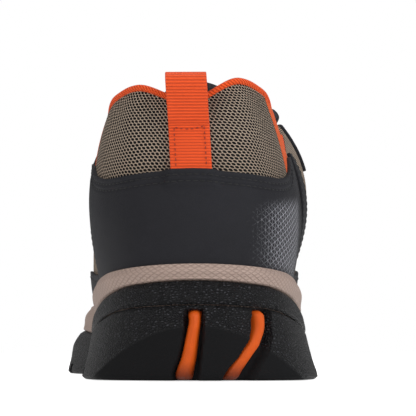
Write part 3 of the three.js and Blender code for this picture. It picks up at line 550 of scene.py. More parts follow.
def plain_rubber():
    f = Finish("rubber_orange")
    fine = f.noise(f.place(), 1.6, 5)
    cloud = f.noise(f.place(), 0.12, 3)
    colour = f.shade(cloud, paint("ribs"), 0.78, 1.12)
    colour = f.blend(f.math("MULTIPLY", f.band(fine, 0.55, 0.85), 0.3), colour, linear((120, 60, 30)))
    # Painted shadow: the orange rubber darkens towards the ground, below 8 mm, where the ribs lie deep in the
    # heel grooves.
    height = f.split(f.place())[2]
    colour = f.blend(f.math("MULTIPLY", f.band(height, 8.0, 1.0), 0.8), colour, linear((60, 22, 12)))
    rough = f.math("ADD", 0.46, f.math("MULTIPLY", fine, 0.2))
    return f.done(colour, rough, f.bump(fine, 0.08), Specular_IOR_Level=0.25)


def foam():
    """Moulded foam with a fine pattern of raised diamonds."""
    f = Finish("midsole_foam")
    u, v, _ = f.split(f.place("UV"))
    wave = []
    for sign in (1, -1):
        run = f.math("ADD", f.math("MULTIPLY", u, 0.5), f.math("MULTIPLY", v, 0.86 * sign))
        t = f.math("PINGPONG", run, 0.72)
        wave.append(f.band(t, 0.0, 0.26))
    diamond = f.math("MULTIPLY", *wave)
    fine = f.noise(f.place(), 3.0, 4)
    cloud = f.noise(f.place(), 0.07, 4)
    colour = f.shade(cloud, paint("midsole"), 0.86, 1.1)
    seams = f.math("MULTIPLY", f.math("SUBTRACT", 1.0, diamond), 0.36)
    colour = f.blend(seams, colour, linear((110, 90, 80)))
    scuff = f.math("MULTIPLY", f.band(f.noise(f.place(), 0.5, 6), 0.62, 0.75), 0.25)
    colour = f.blend(scuff, colour, linear((126, 104, 92)))
    normal = f.bump(fine, 0.04, f.bump(diamond, 0.22))
    rough = f.math("ADD", 0.46, f.math("MULTIPLY", fine, 0.2))
    return f.done(colour, rough, normal, Specular_IOR_Level=0.35)


def leather(name="synthetic_leather", printed=False):
    """Matt synthetic leather with a fine grain, and on the heel a printed lattice that fades out."""
    f = Finish(name)
    grain = f.band(f.cells(f.place(), 1.7, "DISTANCE_TO_EDGE"), 0.0, 0.2)
    fine = f.noise(f.place(), 3.2, 5)
    cloud = f.noise(f.place(), 0.045, 4)
    base = f.shade(cloud, paint("overlay"), 0.72, 1.2)
    base = f.blend(f.math("MULTIPLY", f.band(fine, 0.55, 0.8), 0.05), base, linear((112, 112, 118)))
    rough = f.math("ADD", 0.5, f.math("MULTIPLY", fine, 0.2))
    if printed:
        u, v, _ = f.split(f.place("UV"))
        lines = None
        for turn in (90, 30, -30):
            run = f.math(
                "ADD",
                f.math("MULTIPLY", u, math.sin(math.radians(turn))),
                f.math("MULTIPLY", v, math.cos(math.radians(turn))),
            )
            line = f.band(f.math("PINGPONG", run, 1.05), 0.13, 0.03)
            lines = line if lines is None else f.math("MAXIMUM", lines, line)
        wear = f.noise(f.place("UV"), 0.9, 3)
        reach = f.math("ADD", u, f.math("MULTIPLY", f.math("SUBTRACT", wear, 0.5), 22.0))
        fade = f.math("MULTIPLY", f.band(reach, 22, 44), f.band(reach, 74, 60))
        sloped = f.math("SUBTRACT", v, f.math("MULTIPLY", u, 0.22))
        height = f.math("MULTIPLY", f.band(v, 1.0, 7.0), f.band(sloped, 22.0, 16.0))
        ink = f.math("MULTIPLY", f.math("MULTIPLY", lines, fade), height)
        base = f.blend(f.math("MULTIPLY", ink, 0.9), base, linear((196, 196, 204)))
        rough = f.math("SUBTRACT", rough, f.math("MULTIPLY", ink, 0.15))
    normal = f.bump(fine, 0.04, f.bump(grain, 0.06))
    return f.done(base, rough, normal, Specular_IOR_Level=0.2)


def honeycomb():
    """Open spacer mesh: staggered oval holes in light yarn, painted near-black inside for the dark backing
    behind them and the shade in them.
    """
    f = Finish("mesh_honeycomb")
    u, v, _ = f.split(f.place("UV"))
    wobble = f.math("MULTIPLY", f.math("SUBTRACT", f.noise(f.place("UV"), 0.08, 2), 0.5), 1.6)
    row = f.math("DIVIDE", f.math("ADD", v, wobble), 1.16)
    number = f.math("FLOOR", row)
    odd = f.math("MULTIPLY", f.math("FLOORED_MODULO", number, 2.0), 0.5)
    column = f.math("ADD", f.math("DIVIDE", u, 1.85), odd)
    x = f.math("SUBTRACT", f.math("FRACT", column), 0.5)
    y = f.math("SUBTRACT", f.math("FRACT", row), 0.5)
    slant = f.math("ADD", x, f.math("MULTIPLY", y, 0.18))
    far = f.math(
        "ADD",
        f.math("POWER", f.math("ABSOLUTE", f.math("DIVIDE", slant, 0.37)), 2.4),
        f.math("POWER", f.math("ABSOLUTE", f.math("DIVIDE", y, 0.42)), 2.4),
    )
    yarn = f.band(far, 0.95, 1.3)
    strands = f.math("PINGPONG", f.math("ADD", f.math("MULTIPLY", v, 1.0), f.math("MULTIPLY", u, 0.35)), 0.16)
    strand = f.band(strands, 0.0, 0.16)
    cloud = f.noise(f.place("UV"), 0.05, 3)
    light = f.shade(cloud, paint("yarn"), 0.82, 1.12)
    light = f.blend(f.math("MULTIPLY", strand, 0.35), light, linear((120, 104, 92)))
    # The holes show the near-black: dark backing with painted shade.
    colour = f.blend(yarn, DARK_BACKING_AND_SHADE, light)
    height = f.math("ADD", f.math("MULTIPLY", yarn, 0.85), f.math("MULTIPLY", strand, 0.15))
    return f.done(colour, 0.85, f.bump(height, 0.5), Specular_IOR_Level=0.15)


def striped_mesh():
    """Knitted mesh with raised slanting ribs over a dark ground, whose gaps are painted near-black for the
    dark backing and the shade in them.
    """
    f = Finish("mesh_striped")
    u, v, _ = f.split(f.place("UV"))
    run = f.math("ADD", f.math("MULTIPLY", u, 0.52), f.math("MULTIPLY", v, 0.85))
    wave = f.math("PINGPONG", run, 0.9)
    rib = f.band(wave, 0.24, 0.55)
    cross = f.math("SUBTRACT", f.math("MULTIPLY", u, 0.85), f.math("MULTIPLY", v, 0.52))
    knit = f.band(f.math("PINGPONG", cross, 0.42), 0.02, 0.3)
    cloud = f.noise(f.place("UV"), 0.05, 3)
    light = f.blend(
        f.math("MULTIPLY", f.math("SUBTRACT", 1.0, knit), 0.5),
        f.shade(cloud, paint("yarn"), 0.82, 1.1),
        linear((110, 95, 84)),
    )
    # The gaps in the knit ground show the same near-black: dark backing with painted shade.
    ground_colour = f.blend(knit, DARK_BACKING_AND_SHADE, linear((58, 54, 52)))
    colour = f.blend(rib, ground_colour, light)
    height = f.math("ADD", f.math("MULTIPLY", rib, 0.75), f.math("MULTIPLY", knit, 0.25))
    return f.done(colour, 0.85, f.bump(height, 0.5), Specular_IOR_Level=0.15)


def webbing():
    """Ribbed ribbon: raised ribs across it, each bound by fine warp threads."""
    f = Finish("webbing_orange")
    u, v, _ = f.split(f.place("UV"))
    rib = f.band(f.math("PINGPONG", v, 0.56), 0.0, 0.5)
    warp = f.band(f.math("PINGPONG", u, 0.17), 0.0, 0.17)
    fuzz = f.noise(f.place("UV"), 3.0, 3)
    cloud = f.noise(f.place("UV"), 0.1, 3)
    colour = f.shade(cloud, paint("webbing"), 0.9, 1.08)
    dips = f.math("SUBTRACT", 1.0, rib)
    colour = f.blend(f.math("MULTIPLY", dips, 0.55), colour, linear((150, 40, 22)))
    colour = f.blend(f.math("MULTIPLY", f.math("SUBTRACT", 1.0, warp), 0.18), colour, linear((176, 58, 30)))
    height = f.math("ADD", f.math("MULTIPLY", rib, 0.8), f.math("MULTIPLY", warp, 0.12))
    height = f.math("ADD", height, f.math("MULTIPLY", fuzz, 0.08))
    return f.done(colour, 0.72, f.bump(height, 0.34), Specular_IOR_Level=0.2, Sheen_Weight=0.05)


def knit(name, colour, pitch=1.3, slant=0.8, depth=0.35, dark=0.45):
    """A fine knit with slanting ribs that follow the piece's UV map."""
    f = Finish(name)
    u, v, _ = f.split(f.place("UV"))
    run = f.math("ADD", u, f.math("MULTIPLY", v, slant))
    rib = f.band(f.math("PINGPONG", run, pitch / 2), 0.0, pitch * 0.42)
    back = f.math("SUBTRACT", f.math("MULTIPLY", u, slant), v)
    loop = f.band(f.math("PINGPONG", back, pitch * 0.3), 0.0, pitch * 0.28)
    fuzz = f.noise(f.place("UV"), 2.2, 3)
    base = f.shade(f.noise(f.place("UV"), 0.09, 3), colour, 0.88, 1.1)
    low = tuple(dark * c for c in colour[:3]) + (1.0,)
    base = f.blend(f.math("MULTIPLY", f.math("SUBTRACT", 1.0, rib), 0.7), base, low)
    height = f.math("ADD", f.math("MULTIPLY", rib, 0.7), f.math("MULTIPLY", loop, 0.2))
    height = f.math("ADD", height, f.math("MULTIPLY", fuzz, 0.1))
    return f.done(base, 0.85, f.bump(height, depth), Specular_IOR_Level=0.15, Sheen_Weight=0.06)


def thread(name, colour):
    f = Finish(name, 0.6)
    twist = f.noise(f.place(), 5.0, 2)
    return f.done(f.shade(twist, colour, 0.7, 1.3), 0.6, f.bump(twist, 0.05))


def pale(name, colour):
    """Plain material for the pieces that are hidden in use."""
    f = Finish(name)
    grain = f.noise(f.place(), 1.2, 5)
    return f.done(f.shade(grain, colour, 0.85, 1.1), 0.8, f.bump(grain, 0.12))


FINISHES = {}


def finish_of(key):
    """Each material is made once, when the first piece needs it."""
    makers = {
        "rubber": rubber,
        "heel_rubber": lambda: rubber("rubber_heel", True),
        "orange_rubber": plain_rubber,
        "foam": foam,
        "leather": leather,
        "printed": lambda: leather("leather_printed", True),
        "honeycomb": honeycomb,
        "striped": striped_mesh,
        "webbing": webbing,
        "roll": lambda: knit("knit_orange", paint("webbing"), 1.35, 0.9, 0.4),
        "orange_knit": lambda: knit("knit_orange_fine", linear((232, 96, 40)), 0.8, 0.5, 0.22),
        "lining": lambda: knit("lining_knit", linear((52, 51, 54)), 1.0, 0.6, 0.25),
        "strap": lambda: knit("loop_webbing", linear((58, 58, 63)), 0.9, 0.0, 0.25),
        "lace": lambda: knit("lace_braid", linear((66, 66, 72)), 1.2, 1.2, 0.3),
        "dark_thread": lambda: thread("thread_dark", linear((13, 13, 15))),
        "orange_thread": lambda: thread("thread_orange", linear((140, 40, 16))),
        "board": lambda: pale("fibre_board", linear((205, 196, 176))),
        "footbed": lambda: knit("footbed_cloth", linear((92, 90, 92)), 1.1, 0.3, 0.2, 0.6),
        "nylon": lambda: pale("nylon_black", linear((30, 30, 33))),
        "padding": lambda: pale("foam_pale", linear((212, 206, 194))),
    }
    if key not in FINISHES:
        FINISHES[key] = makers[key]()
    return FINISHES[key]


# ---------------------------------------------------------------- shapes
def sizes():
    return bpy.context.scene.shoe_sizes


def ramp(x, low, high):
    """0 at low and 1 at high, smoothly, and level beyond them."""
    t = np.clip((np.asarray(x, float) - low) / (high - low), 0, 1)
    return t * t * (3 - 2 * t)


def close(obj):
    """Welds a piece, fills its open ends and points its faces outwards."""
    mesh = bmesh.new()
    mesh.from_mesh(obj.data)
    bmesh.ops.remove_doubles(mesh, verts=mesh.verts, dist=0.00002)
    rim = [e for e in mesh.edges if e.is_boundary]
    if rim:
        bmesh.ops.holes_fill(mesh, edges=rim, sides=0)
    bmesh.ops.recalc_face_normals(mesh, faces=mesh.faces)
    mesh.to_mesh(obj.data)
    mesh.free()
    return obj


def sweep(name, sections):
    """A solid through sections[i][k], with UV millimetres along it and round it."""
    loop = np.concatenate([sections, sections[:, :1]], 1)
    along = np.broadcast_to(lengths(loop, 0)[:, :1], loop.shape[:2])
    return close(sheet_grid(name, loop, np.stack([along, lengths(loop, 1)], -1)))


def curve_through(points, step):
    """A centripetal curve through the points, sampled about every step millimetres."""
    p = np.asarray(points, float)
    p = np.concatenate([[2 * p[0] - p[1]], p, [2 * p[-1] - p[-2]]])
    out = []
    for i in range(1, len(p) - 2):
        knots = np.cumsum([0] + [np.linalg.norm(p[i + k] - p[i + k - 1]) ** 0.5 for k in range(3)])
        t0, t1, t2, t3 = knots
        count = max(2, int(round(np.linalg.norm(p[i + 1] - p[i]) / step)))
        t = np.linspace(t1, t2, count, endpoint=False)[:, None]
        a1 = (t1 - t) / (t1 - t0) * p[i - 1] + (t - t0) / (t1 - t0) * p[i]
        a2 = (t2 - t) / (t2 - t1) * p[i] + (t - t1) / (t2 - t1) * p[i + 1]
        a3 = (t3 - t) / (t3 - t2) * p[i + 1] + (t - t2) / (t3 - t2) * p[i + 2]
        b1 = (t2 - t) / (t2 - t0) * a1 + (t - t0) / (t2 - t0) * a2
        b2 = (t3 - t) / (t3 - t1) * a2 + (t - t1) / (t3 - t1) * a3
        out.append((t2 - t) / (t2 - t1) * b1 + (t - t1) / (t2 - t1) * b2)
    out.append(p[-2][None])
    return np.concatenate(out)


def ring_solid(name, halves, rings, across=24):
    """A sole layer. The rings run from the underside up the wall and in again.
    Each gives its points at the stations; negative stations are the medial side."""
    right = np.stack([ring(halves) for ring in rings], 1)
    left = np.stack([ring(-halves) for ring in rings], 1)
    t = np.linspace(0, 1, across + 1)[1:-1, None]
    under = left[:, :1] * (1 - t) + right[:, :1] * t
    over = right[:, -1:] * (1 - t) + left[:, -1:] * t
    loop = np.concatenate([under, right, over, left[:, ::-1], under[:, :1]], 1)
    arc = lengths(edge(halves, 4.0, 0.0)[:, None], 0)[:, 0]
    arc = arc - np.interp(0, halves, arc)
    side = np.concatenate([0 * t[:, 0], np.ones(len(rings)), 0 * t[:, 0], -np.ones(len(rings)), [0]])
    uv = np.stack([arc[:, None] * side[None, :], loop[..., 2]], -1)
    return close(sheet_grid(name, loop, uv))


# ---------------------------------------------------------------- the back of the heel
# Each groove is a middle and a width at each height, and so is the rib that shows in it.
GROOVES = (
    (
        through((0, -4.6), (9, -2.1), (18, -0.5), (28, -0.3)),
        through((0, 12.5), (9, 9), (18, 7.2), (28, 6.3)),
        through((0, -6), (9, -3), (16, -1.3), (22, -0.2), (28, -0.3)),
        through((0, 6.0), (9, 4.0), (16, 2.9), (21, 2.3), (25, 3.0), (28, 2.8)),
    ),
    (
        through((0, 18.4), (9, 22), (17, 23.8), (28, 23.8)),
        through((0, 12), (9, 8.6), (17, 7.2), (28, 6.2)),
        through((0, 16.2), (9, 20), (14, 22.2), (20, 23.9), (28, 23.2)),
        through((0, 5.0), (9, 3.4), (14, 2.7), (20, 2.3), (25, 2.9), (28, 2.7)),
    ),
)
GROOVE_TOP = 25.4
GROOVE_DEPTH = 3.8


def strike_arch(x):
    """The height of the strike bevel's upper edge."""
    return 19.5 - 0.0125 * x * x


def strike_bevel(s, z):
    x = skin(s, z)[..., 0]
    return 0.4 * np.maximum(0, strike_arch(x) - z) * ramp(np.abs(wrap(s)), 60, 48)


def heel_cut(s, z):
    """How far the back of the heel is cut away by the strike bevel and the two grooves."""
    x = skin(s, z)[..., 0]
    groove = np.zeros_like(x)
    for middle, width, _, _ in GROOVES:
        away = np.abs(x - middle(z)) * 2 / width(z)
        groove = np.maximum(groove, ramp(away, 1.1, 0.88))
    groove = groove * ramp(z, GROOVE_TOP + 0.5, GROOVE_TOP - 0.7) * ramp(np.abs(wrap(s)), 60, 48)
    return strike_bevel(s, z) + GROOVE_DEPTH * groove


def no_cut(s, z):
    return np.zeros(np.broadcast(s, z).shape)


def outsole(name, halves, heights, cut, treads):
    """A tread with its wall; treads are the places along Y of the channels across it."""
    def low(inset):
        return lambda s: skin(s, ground(s), inset + cut(s, ground(s)))

    def wall(t):
        def ring(s):
            z = ground(s) + (wall_top(s) - ground(s)) * t
            turned = 0.9 * ramp(t, 0.965, 1.0) + 1.0 * ramp(t, 0.05, 0.0)
            return skin(s, z, cut(s, z) + turned)
        return ring

    def inside(level, inset):
        return lambda s: skin(s, level(s), inset + cut(s, level(s)))

    rings = [low(6), low(3), low(1.6)]
    rings += [wall(t) for t in np.linspace(0, 1, heights)]
    rings.append(inside(lambda s: np.minimum(wall_top(s), GROOVE_TOP - 1.5), OUTSOLE_WALL + 0.2))
    rings.append(inside(lambda s: ground(s) + OUTSOLE, OUTSOLE_WALL + 0.2))
    obj = ring_solid(name, halves, rings)
    bars = []
    for y in treads:
        level = ground(math.degrees(math.acos(-2 * y / LAST_LENGTH)))
        for side in (-1, 1):
            middle = to_frame([side * 36.0, y, float(level)])
            turn = (0, 0, side * math.radians(14))
            bpy.ops.mesh.primitive_cube_add(
                size=1, location=middle, rotation=turn, scale=(0.07, 0.005, 0.009)
            )
            bars.append(bpy.context.object)
    activate(bars[0])
    for bar in bars:
        bar.select_set(True)
    bpy.ops.object.join()
    cutter = bpy.context.object
    modify(obj, "BOOLEAN", operation="DIFFERENCE", solver="EXACT", object=cutter)
    bpy.data.objects.remove(cutter)
    return obj


def rib(name, index):
    """The coloured rib that rises from the floor of a heel groove."""
    _, _, middle, width = GROOVES[index]
    z = np.linspace(1.4, GROOVE_TOP - 0.7, 60)
    t = np.linspace(-1, 1, 15)
    zz, tt = np.meshgrid(z, t, indexing="ij")
    ends = ramp(zz, z[-1], z[-1] - 1.6) * ramp(zz, z[0], z[0] + 0.8)
    x = middle(zz) + tt * width(zz) / 2
    stations = np.linspace(-40, 40, 321)
    s = np.empty_like(x)
    for i, level in enumerate(z):
        s[i] = np.interp(x[i], skin(stations, np.full(stations.shape, level))[:, 0], stations)
    swell = (1 - np.abs(tt) ** 3.2) * np.sqrt(ends)
    inset = strike_bevel(s, zz) + 0.5 + (GROOVE_DEPTH - 0.2) * (1 - swell) + 0.9 * np.abs(tt) * swell
    points = skin(s, zz, inset)
    uv = np.stack([x, zz], -1)
    obj = sheet_grid(name, points, uv)
    modify(obj, "SOLIDIFY", thickness=1.2 * MM, offset=-1.0)
    return close(obj)


# ---------------------------------------------------------------- stitching
def stitches(name, s, v, out, pitch=2.6, size=(1.9, 0.55), sink=0.1):
    """A row of stitches along a line on the upper, each a small rounded bar."""
    line = on_upper(s, v, out)
    run = lengths(line[:, None], 0)[:, 0]
    places = np.arange(pitch / 2, run[-1], pitch)
    spot = np.stack([np.interp(places, run, line[:, k]) for k in range(3)], -1)
    ahead = np.stack([np.interp(places + 0.3, run, line[:, k]) for k in range(3)], -1)
    behind = np.stack([np.interp(places - 0.3, run, line[:, k]) for k in range(3)], -1)
    along = unit(ahead - behind)
    normal = upper_normal(np.interp(places, run, s), np.interp(places, run, v))
    normal = unit(normal - along * (normal * along).sum(-1, keepdims=True))
    across = np.cross(normal, along)
    bpy.ops.mesh.primitive_uv_sphere_add(segments=6, ring_count=5, radius=0.5)
    bead = bpy.context.object
    base = np.empty(len(bead.data.vertices) * 3)
    bead.data.vertices.foreach_get("co", base)
    base = base.reshape(-1, 3)
    faces = [tuple(f.vertices) for f in bead.data.polygons]
    bpy.data.objects.remove(bead)
    longest, thick = size
    # The sphere's own axis lies along the row.
    square = np.sign(base[:, 2]) * np.abs(base[:, 2] * 2) ** 0.7 / 2
    local = np.stack([square * longest, base[:, 0] * thick, base[:, 1] * thick], -1)
    points = (
        spot[:, None] - normal[:, None] * sink
        + along[:, None] * local[None, :, :1]
        + across[:, None] * local[None, :, 1:2]
        + normal[:, None] * local[None, :, 2:3]
    )
    count = len(base)
    mesh = bpy.data.meshes.new(name)
    every = [tuple(i + k * count for i in face) for k in range(len(places)) for face in faces]
    mesh.from_pydata(to_frame(points.reshape(-1, 3)).tolist(), [], every)
    obj = bpy.data.objects.new(name, mesh)
    bpy.context.collection.objects.link(obj)
    return close(obj)


def joined(name, pieces):
    """Several pieces as one."""
    activate(pieces[0])
    for piece in pieces:
        piece.select_set(True)
    bpy.ops.object.join()
    obj = bpy.context.object
    obj.name = name
    obj.data.name = name
    return obj


# ---------------------------------------------------------------- the upper's own lines


def counter_line(horn):
    return through(
        (0, COUNTER), (28, COUNTER - 1.6), (39, COUNTER + 0.6), (48, COUNTER + horn),
        (54, COUNTER + horn - 5),
        (62, COUNTER - 24),
    )


lateral_counter, medial_counter = counter_line(9.0), counter_line(6.5)


def counter_top(s):
    return np.where(s < 0, medial_counter(np.abs(s)), lateral_counter(np.abs(s)))


eyestay_foot = through((84, 0.76), (126, 0.84))
guard_top = through((96, 0.24), (118, 0.34), (144, 0.36))
cap_top = through((144, 0.38), (154, 0.56), (164, 0.66), (180, 0.62))
heelness = through((0, 1), (60, 1), (80, 0))
toeness = through((138, 0), (150, 1))
padding = through((0.5, 0), (0.72, 0.9), (0.9, 1), (1, 0.75))


def lining_depth(s, v):
    a = np.abs(wrap(s))
    stiff = 2.1 * np.maximum(heelness(a), toeness(a))
    return FABRIC + GAP + stiff + 5.4 * padding(v) * heelness(a)


def behind_lip(s):
    """Where the sewn pieces start, just below the midsole's lip."""
    return up_at(s, lip_height(np.abs(wrap(s))) - 3.0)


def beside(s, z, distance):
    """A line on the upper, moved sideways by that many millimetres: its stations and heights."""
    around = lengths(upper_point(s, np.full(s.shape, 0.5))[:, None], 0)[:, 0]
    du, dz = np.gradient(around), np.gradient(z)
    size = np.hypot(du, dz)
    u = around + distance * dz / size
    keep = np.concatenate([[True], np.diff(u) > 0])
    return np.interp(u, around, s)[keep], (z - distance * du / size)[keep]


def sided(side, a, b):
    return (a, b) if side > 0 else (-b, -a)


def tongue_rows(fine):
    """The inner and outer faces of the tongue, as rows from its foot to its head."""
    stations = np.linspace(123.6, 88.4, fine)
    thick = through((88, 6), (105, 4.5), (124, 2.5))
    depth = FABRIC + 1.0 + 3 * GAP
    slope = math.radians(float(ridge_slope(RIDGE)))
    middle = -TOE_SWING * float(swing(88.0))

    def row(a, d, count=30):
        limb = []
        for side in (-1, 1):
            far, near = on_upper(side * a, 0.9, -d), on_upper(side * a, 0.995, -d)
            limb.append((far, near, unit(near - far)))
        (far_l, near_l, lead_l), (far_r, near_r, lead_r) = limb
        span = np.linalg.norm(near_r - near_l)
        t = np.linspace(0, 1, count)[:, None]
        c1, c2 = near_l + lead_l * span * 0.3, near_r + lead_r * span * 0.3
        arch = near_l * (1 - t) ** 3 + 3 * c1 * t * (1 - t) ** 2 + 3 * c2 * t * t * (1 - t) + near_r * t ** 3
        wing = np.linspace(0, 1, 6)[:-1, None]
        left = far_l * (1 - wing) + near_l * wing
        right = near_r * (1 - wing) + far_r * wing
        return np.concatenate([left, arch, right[1:], far_r[None]])

    faces = []
    for outer in (0, 1):
        rows = [row(a, depth + (0 if outer else float(thick(a)))) for a in stations]
        foot, head = rows[0], rows[-1]
        centre = -TOE_SWING * float(swing(RIDGE))
        for reach in (4, 8, 12):
            tucked = foot.copy()
            tucked[:, 0] = mix(tucked[:, 0], centre, 0.12)
            tucked += np.array([0, math.cos(slope), -math.sin(slope)]) * reach + np.array([0, 0, -1.2])
            rows.insert(0, tucked)
        narrow = through((0, 1), (0.2, 0.8), (0.6, 0.74), (1, 0.62))
        for rise in (0.1, 0.2, 0.35, 0.5, 0.65, 0.8, 0.92, 1.0):
            lifted = head + np.array([0, -0.45, 0.89]) * rise * 14
            lifted[:, 0] = middle + (head[:, 0] - middle) * float(narrow(rise))
            rows.append(lifted)
        faces.append(np.stack(rows))
    return faces


# ---------------------------------------------------------------- lacing
LOOPS = (120, 112.5, 105, 97.5, 90)
LOOP_RADIUS = 2.8


def eye(s):
    """The middle of a lace loop's eye, and its ways along the edge, across it and outwards."""
    s = float(s)
    along = unit(upper_point(s - 1, 1) - upper_point(s + 1, 1))
    across = unit(upper_point(s, 1) - upper_point(s, 0.94))
    out = upper_normal(s, 0.99)
    centre = upper_point(s, 1) + across * (LOOP_RADIUS + 0.6) + out * (LOOP_RADIUS + GAP + OVERLAY - 0.2)
    return centre, along if s >= 0 else -along, across, out


def lace_loop(name, s):
    centre, along, across, out = eye(s)
    rest = 2 * GAP + OVERLAY + 0.1
    thick = sizes().webbing_thickness / MM
    tail = np.stack([on_upper(s, v, rest + thick / 2) for v in np.linspace(0.9, 1, 4)])
    angle = np.radians(np.linspace(240, 545, 26))[:, None]
    turn = centre + (across * np.cos(angle) + out * np.sin(angle)) * (LOOP_RADIUS + thick / 2)
    path = curve_through(np.concatenate([tail, turn[::5]]), 0.5)
    width = np.linspace(-3.5, 3.5, 9)
    points = path[:, None] + along * width[None, :, None]
    uv = np.stack(np.broadcast_arrays(width[None, :], lengths(path[:, None], 0)), -1)
    obj = sheet_grid(name, points, uv)
    modify(obj, "SOLIDIFY", thickness=thick * MM * 0.95, offset=0.0)
    modify(obj, "BEVEL", width=0.25 * MM, segments=2, limit_method="ANGLE", angle_limit=math.radians(50))
    return close(obj)


def lace_path():
    spots = []

    def run(s, rise):
        centre, along, _, _ = eye(s)
        spots.extend(centre + along * e * rise for e in (-7, -3.5, 0, 3.5, 7))

    def cross(a, b, lift):
        spots.append((eye(a)[0] + eye(b)[0]) / 2 + np.array([0, 0, lift]))

    top = len(LOOPS) - 1
    for k in range(top, -1, -1):
        side = -1 if (top - k) % 2 == 0 else 1
        run(side * LOOPS[k], -1)
        if k > 0:
            cross(side * LOOPS[k], -side * LOOPS[k - 1], 7.5)
    end = 1 if top % 2 else -1
    cross(end * LOOPS[0], -end * LOOPS[0], 2.5)
    for k in range(top + 1):
        side = -end * (-1 if k % 2 else 1)
        run(side * LOOPS[k], 1)
        if k < top:
            cross(side * LOOPS[k], -side * LOOPS[k + 1], 3)
    return curve_through(spots, 0.8)


# ---------------------------------------------------------------- settings
def length(name, default, description):
    return bpy.props.FloatProperty(
        name=name, description=description, default=default, unit="LENGTH", precision=4, min=0.0
    )


def colour(name, default, description):
    return bpy.props.FloatVectorProperty(
        name=name, description=description, default=linear(default), subtype="COLOR", size=4, min=0.0, max=1.0
    )


class ShoeSizes(bpy.types.PropertyGroup):
    overlay_thickness: length("Overlay thickness", 0.0015, "Synthetic leather over the fabric")
    lip_width: length("Lip width", 0.0036, "How far the midsole's lip stands out from the upper")
    mesh_swell: length("Mesh swell", 0.0012, "How far the padded mesh bulges between its seams")
    roll_height: length("Roll height", 0.0026, "The soft roll above the collar edge")
    webbing_width: length("Webbing width", 0.015, "Width of the pull tab")
    webbing_thickness: length("Webbing thickness", 0.0012, "Thickness of one layer of webbing")
    lace_diameter: length("Lace diameter", 0.0034, "Diameter of the lace")
    stitch_pitch: length("Stitch pitch", 0.0026, "From one stitch to the next")


class ShoeColours(bpy.types.PropertyGroup):
    webbing: colour("Webbing", (243, 89, 36), "Pull tab, collar roll and inserts")
    ribs: colour("Ribs", (208, 84, 12), "Underlayer that shows in the grooves")
    midsole: colour("Midsole", (172, 150, 139), "Foam of the midsole")
    yarn: colour("Yarn", (180, 162, 144), "Light yarn of the mesh")
    overlay: colour("Overlay", (28, 28, 33), "Synthetic leather")
    rubber: colour("Rubber", (24, 24, 27), "Tread and heel band")


# ---------------------------------------------------------------- sole
class ShoeHeelOutsole(bpy.types.Operator):
    """The heel tread, with its wall, strike bevel and grooves"""

    bl_idname = "shoe.heel_outsole"
    bl_label = "Heel outsole"

    def execute(self, context):
        halves = np.concatenate([np.arange(0, 46, 0.45), np.arange(46, 74.5, 1.25), [74.5]])
        obj = outsole("heel_tread_rubber", halves, 44, heel_cut, (-98, -78, -58))
        finish(obj, "shoe", finish_of("heel_rubber"), ["heel_outsole"])
        return {"FINISHED"}


class ShoeForefootOutsole(bpy.types.Operator):
    """The forefoot tread, with its wall"""

    bl_idname = "shoe.forefoot_outsole"
    bl_label = "Forefoot outsole"

    def execute(self, context):
        halves = np.concatenate([np.arange(98.9, 180, 1.2), [180]])
        obj = outsole("forefoot_tread_rubber", halves, 20, no_cut, (43, 64, 85, 106))
        finish(obj, "shoe", finish_of("rubber"), ["forefoot_outsole"])
        return {"FINISHED"}


class ShoeUnderlayer(bpy.types.Operator):
    """The coloured layer between tread and midsole, and its ribs in the heel grooves"""

    bl_idname = "shoe.underlayer"
    bl_label = "Underlayer"

    def execute(self, context):
        def hidden(s):
            return 7.5 * ramp(np.abs(wrap(s)), 62, 48)

        def low(s):
            return ground(s) + OUTSOLE + 0.1

        def high(s):
            return np.minimum(wall_top(s), floor_height(np.abs(wrap(s))) - 1)

        def wall(t, turned):
            return lambda s: skin(s, mix(low(s), high(s), t), 2.7 + hidden(s) + turned)

        rings = [wall(0, 3), wall(0, 0.8), wall(0.08, 0)]
        rings += [wall(t, 0) for t in (0.3, 0.6, 0.85)]
        rings += [wall(0.95, 0.15), wall(1, 0.7)]
        rings += [
            lambda s: skin(s, high(s), 4.5 + hidden(s)),
            lambda s: skin(s, low(s) + 1.6, 4.5 + hidden(s)),
        ]
        halves = np.concatenate([np.arange(0, 180, 1.5), [180]])
        obj = ring_solid("underlayer_rubber", halves, rings)
        finish(obj, "shoe", finish_of("orange_rubber"), ["underlayer"])
        for index, name in enumerate(("rib_left", "rib_right")):
            piece = rib("underlayer_" + name, index)
            finish(piece, "shoe", finish_of("orange_rubber"), ["underlayer"])
        return {"FINISHED"}


class ShoeHeelBand(bpy.types.Operator):
    """The pebbled band between the heel tread and the midsole"""

    bl_idname = "shoe.heel_band"
    bl_label = "Heel band"

    def execute(self, context):
        stations = np.linspace(-BAND_END + 0.6, BAND_END - 0.6, 240)
        t = np.linspace(0, 1, 15)
        s, tt = np.meshgrid(stations, t, indexing="ij")
        low, high = wall_top(s) + 0.35, band_top(np.abs(s)) - 0.25
        rounded = 1.1 * (np.abs(2 * tt - 1) ** 5)
        points = skin(s, mix(low, high, tt), rounded - 0.35)
        obj = sheet_grid("heel_band_rubber", points, surface_uv(points, stations))
        modify(obj, "SOLIDIFY", thickness=2.6 * MM, offset=-1.0)
        finish(close(obj), "shoe", finish_of("rubber"), ["heel_band"])
        return {"FINISHED"}


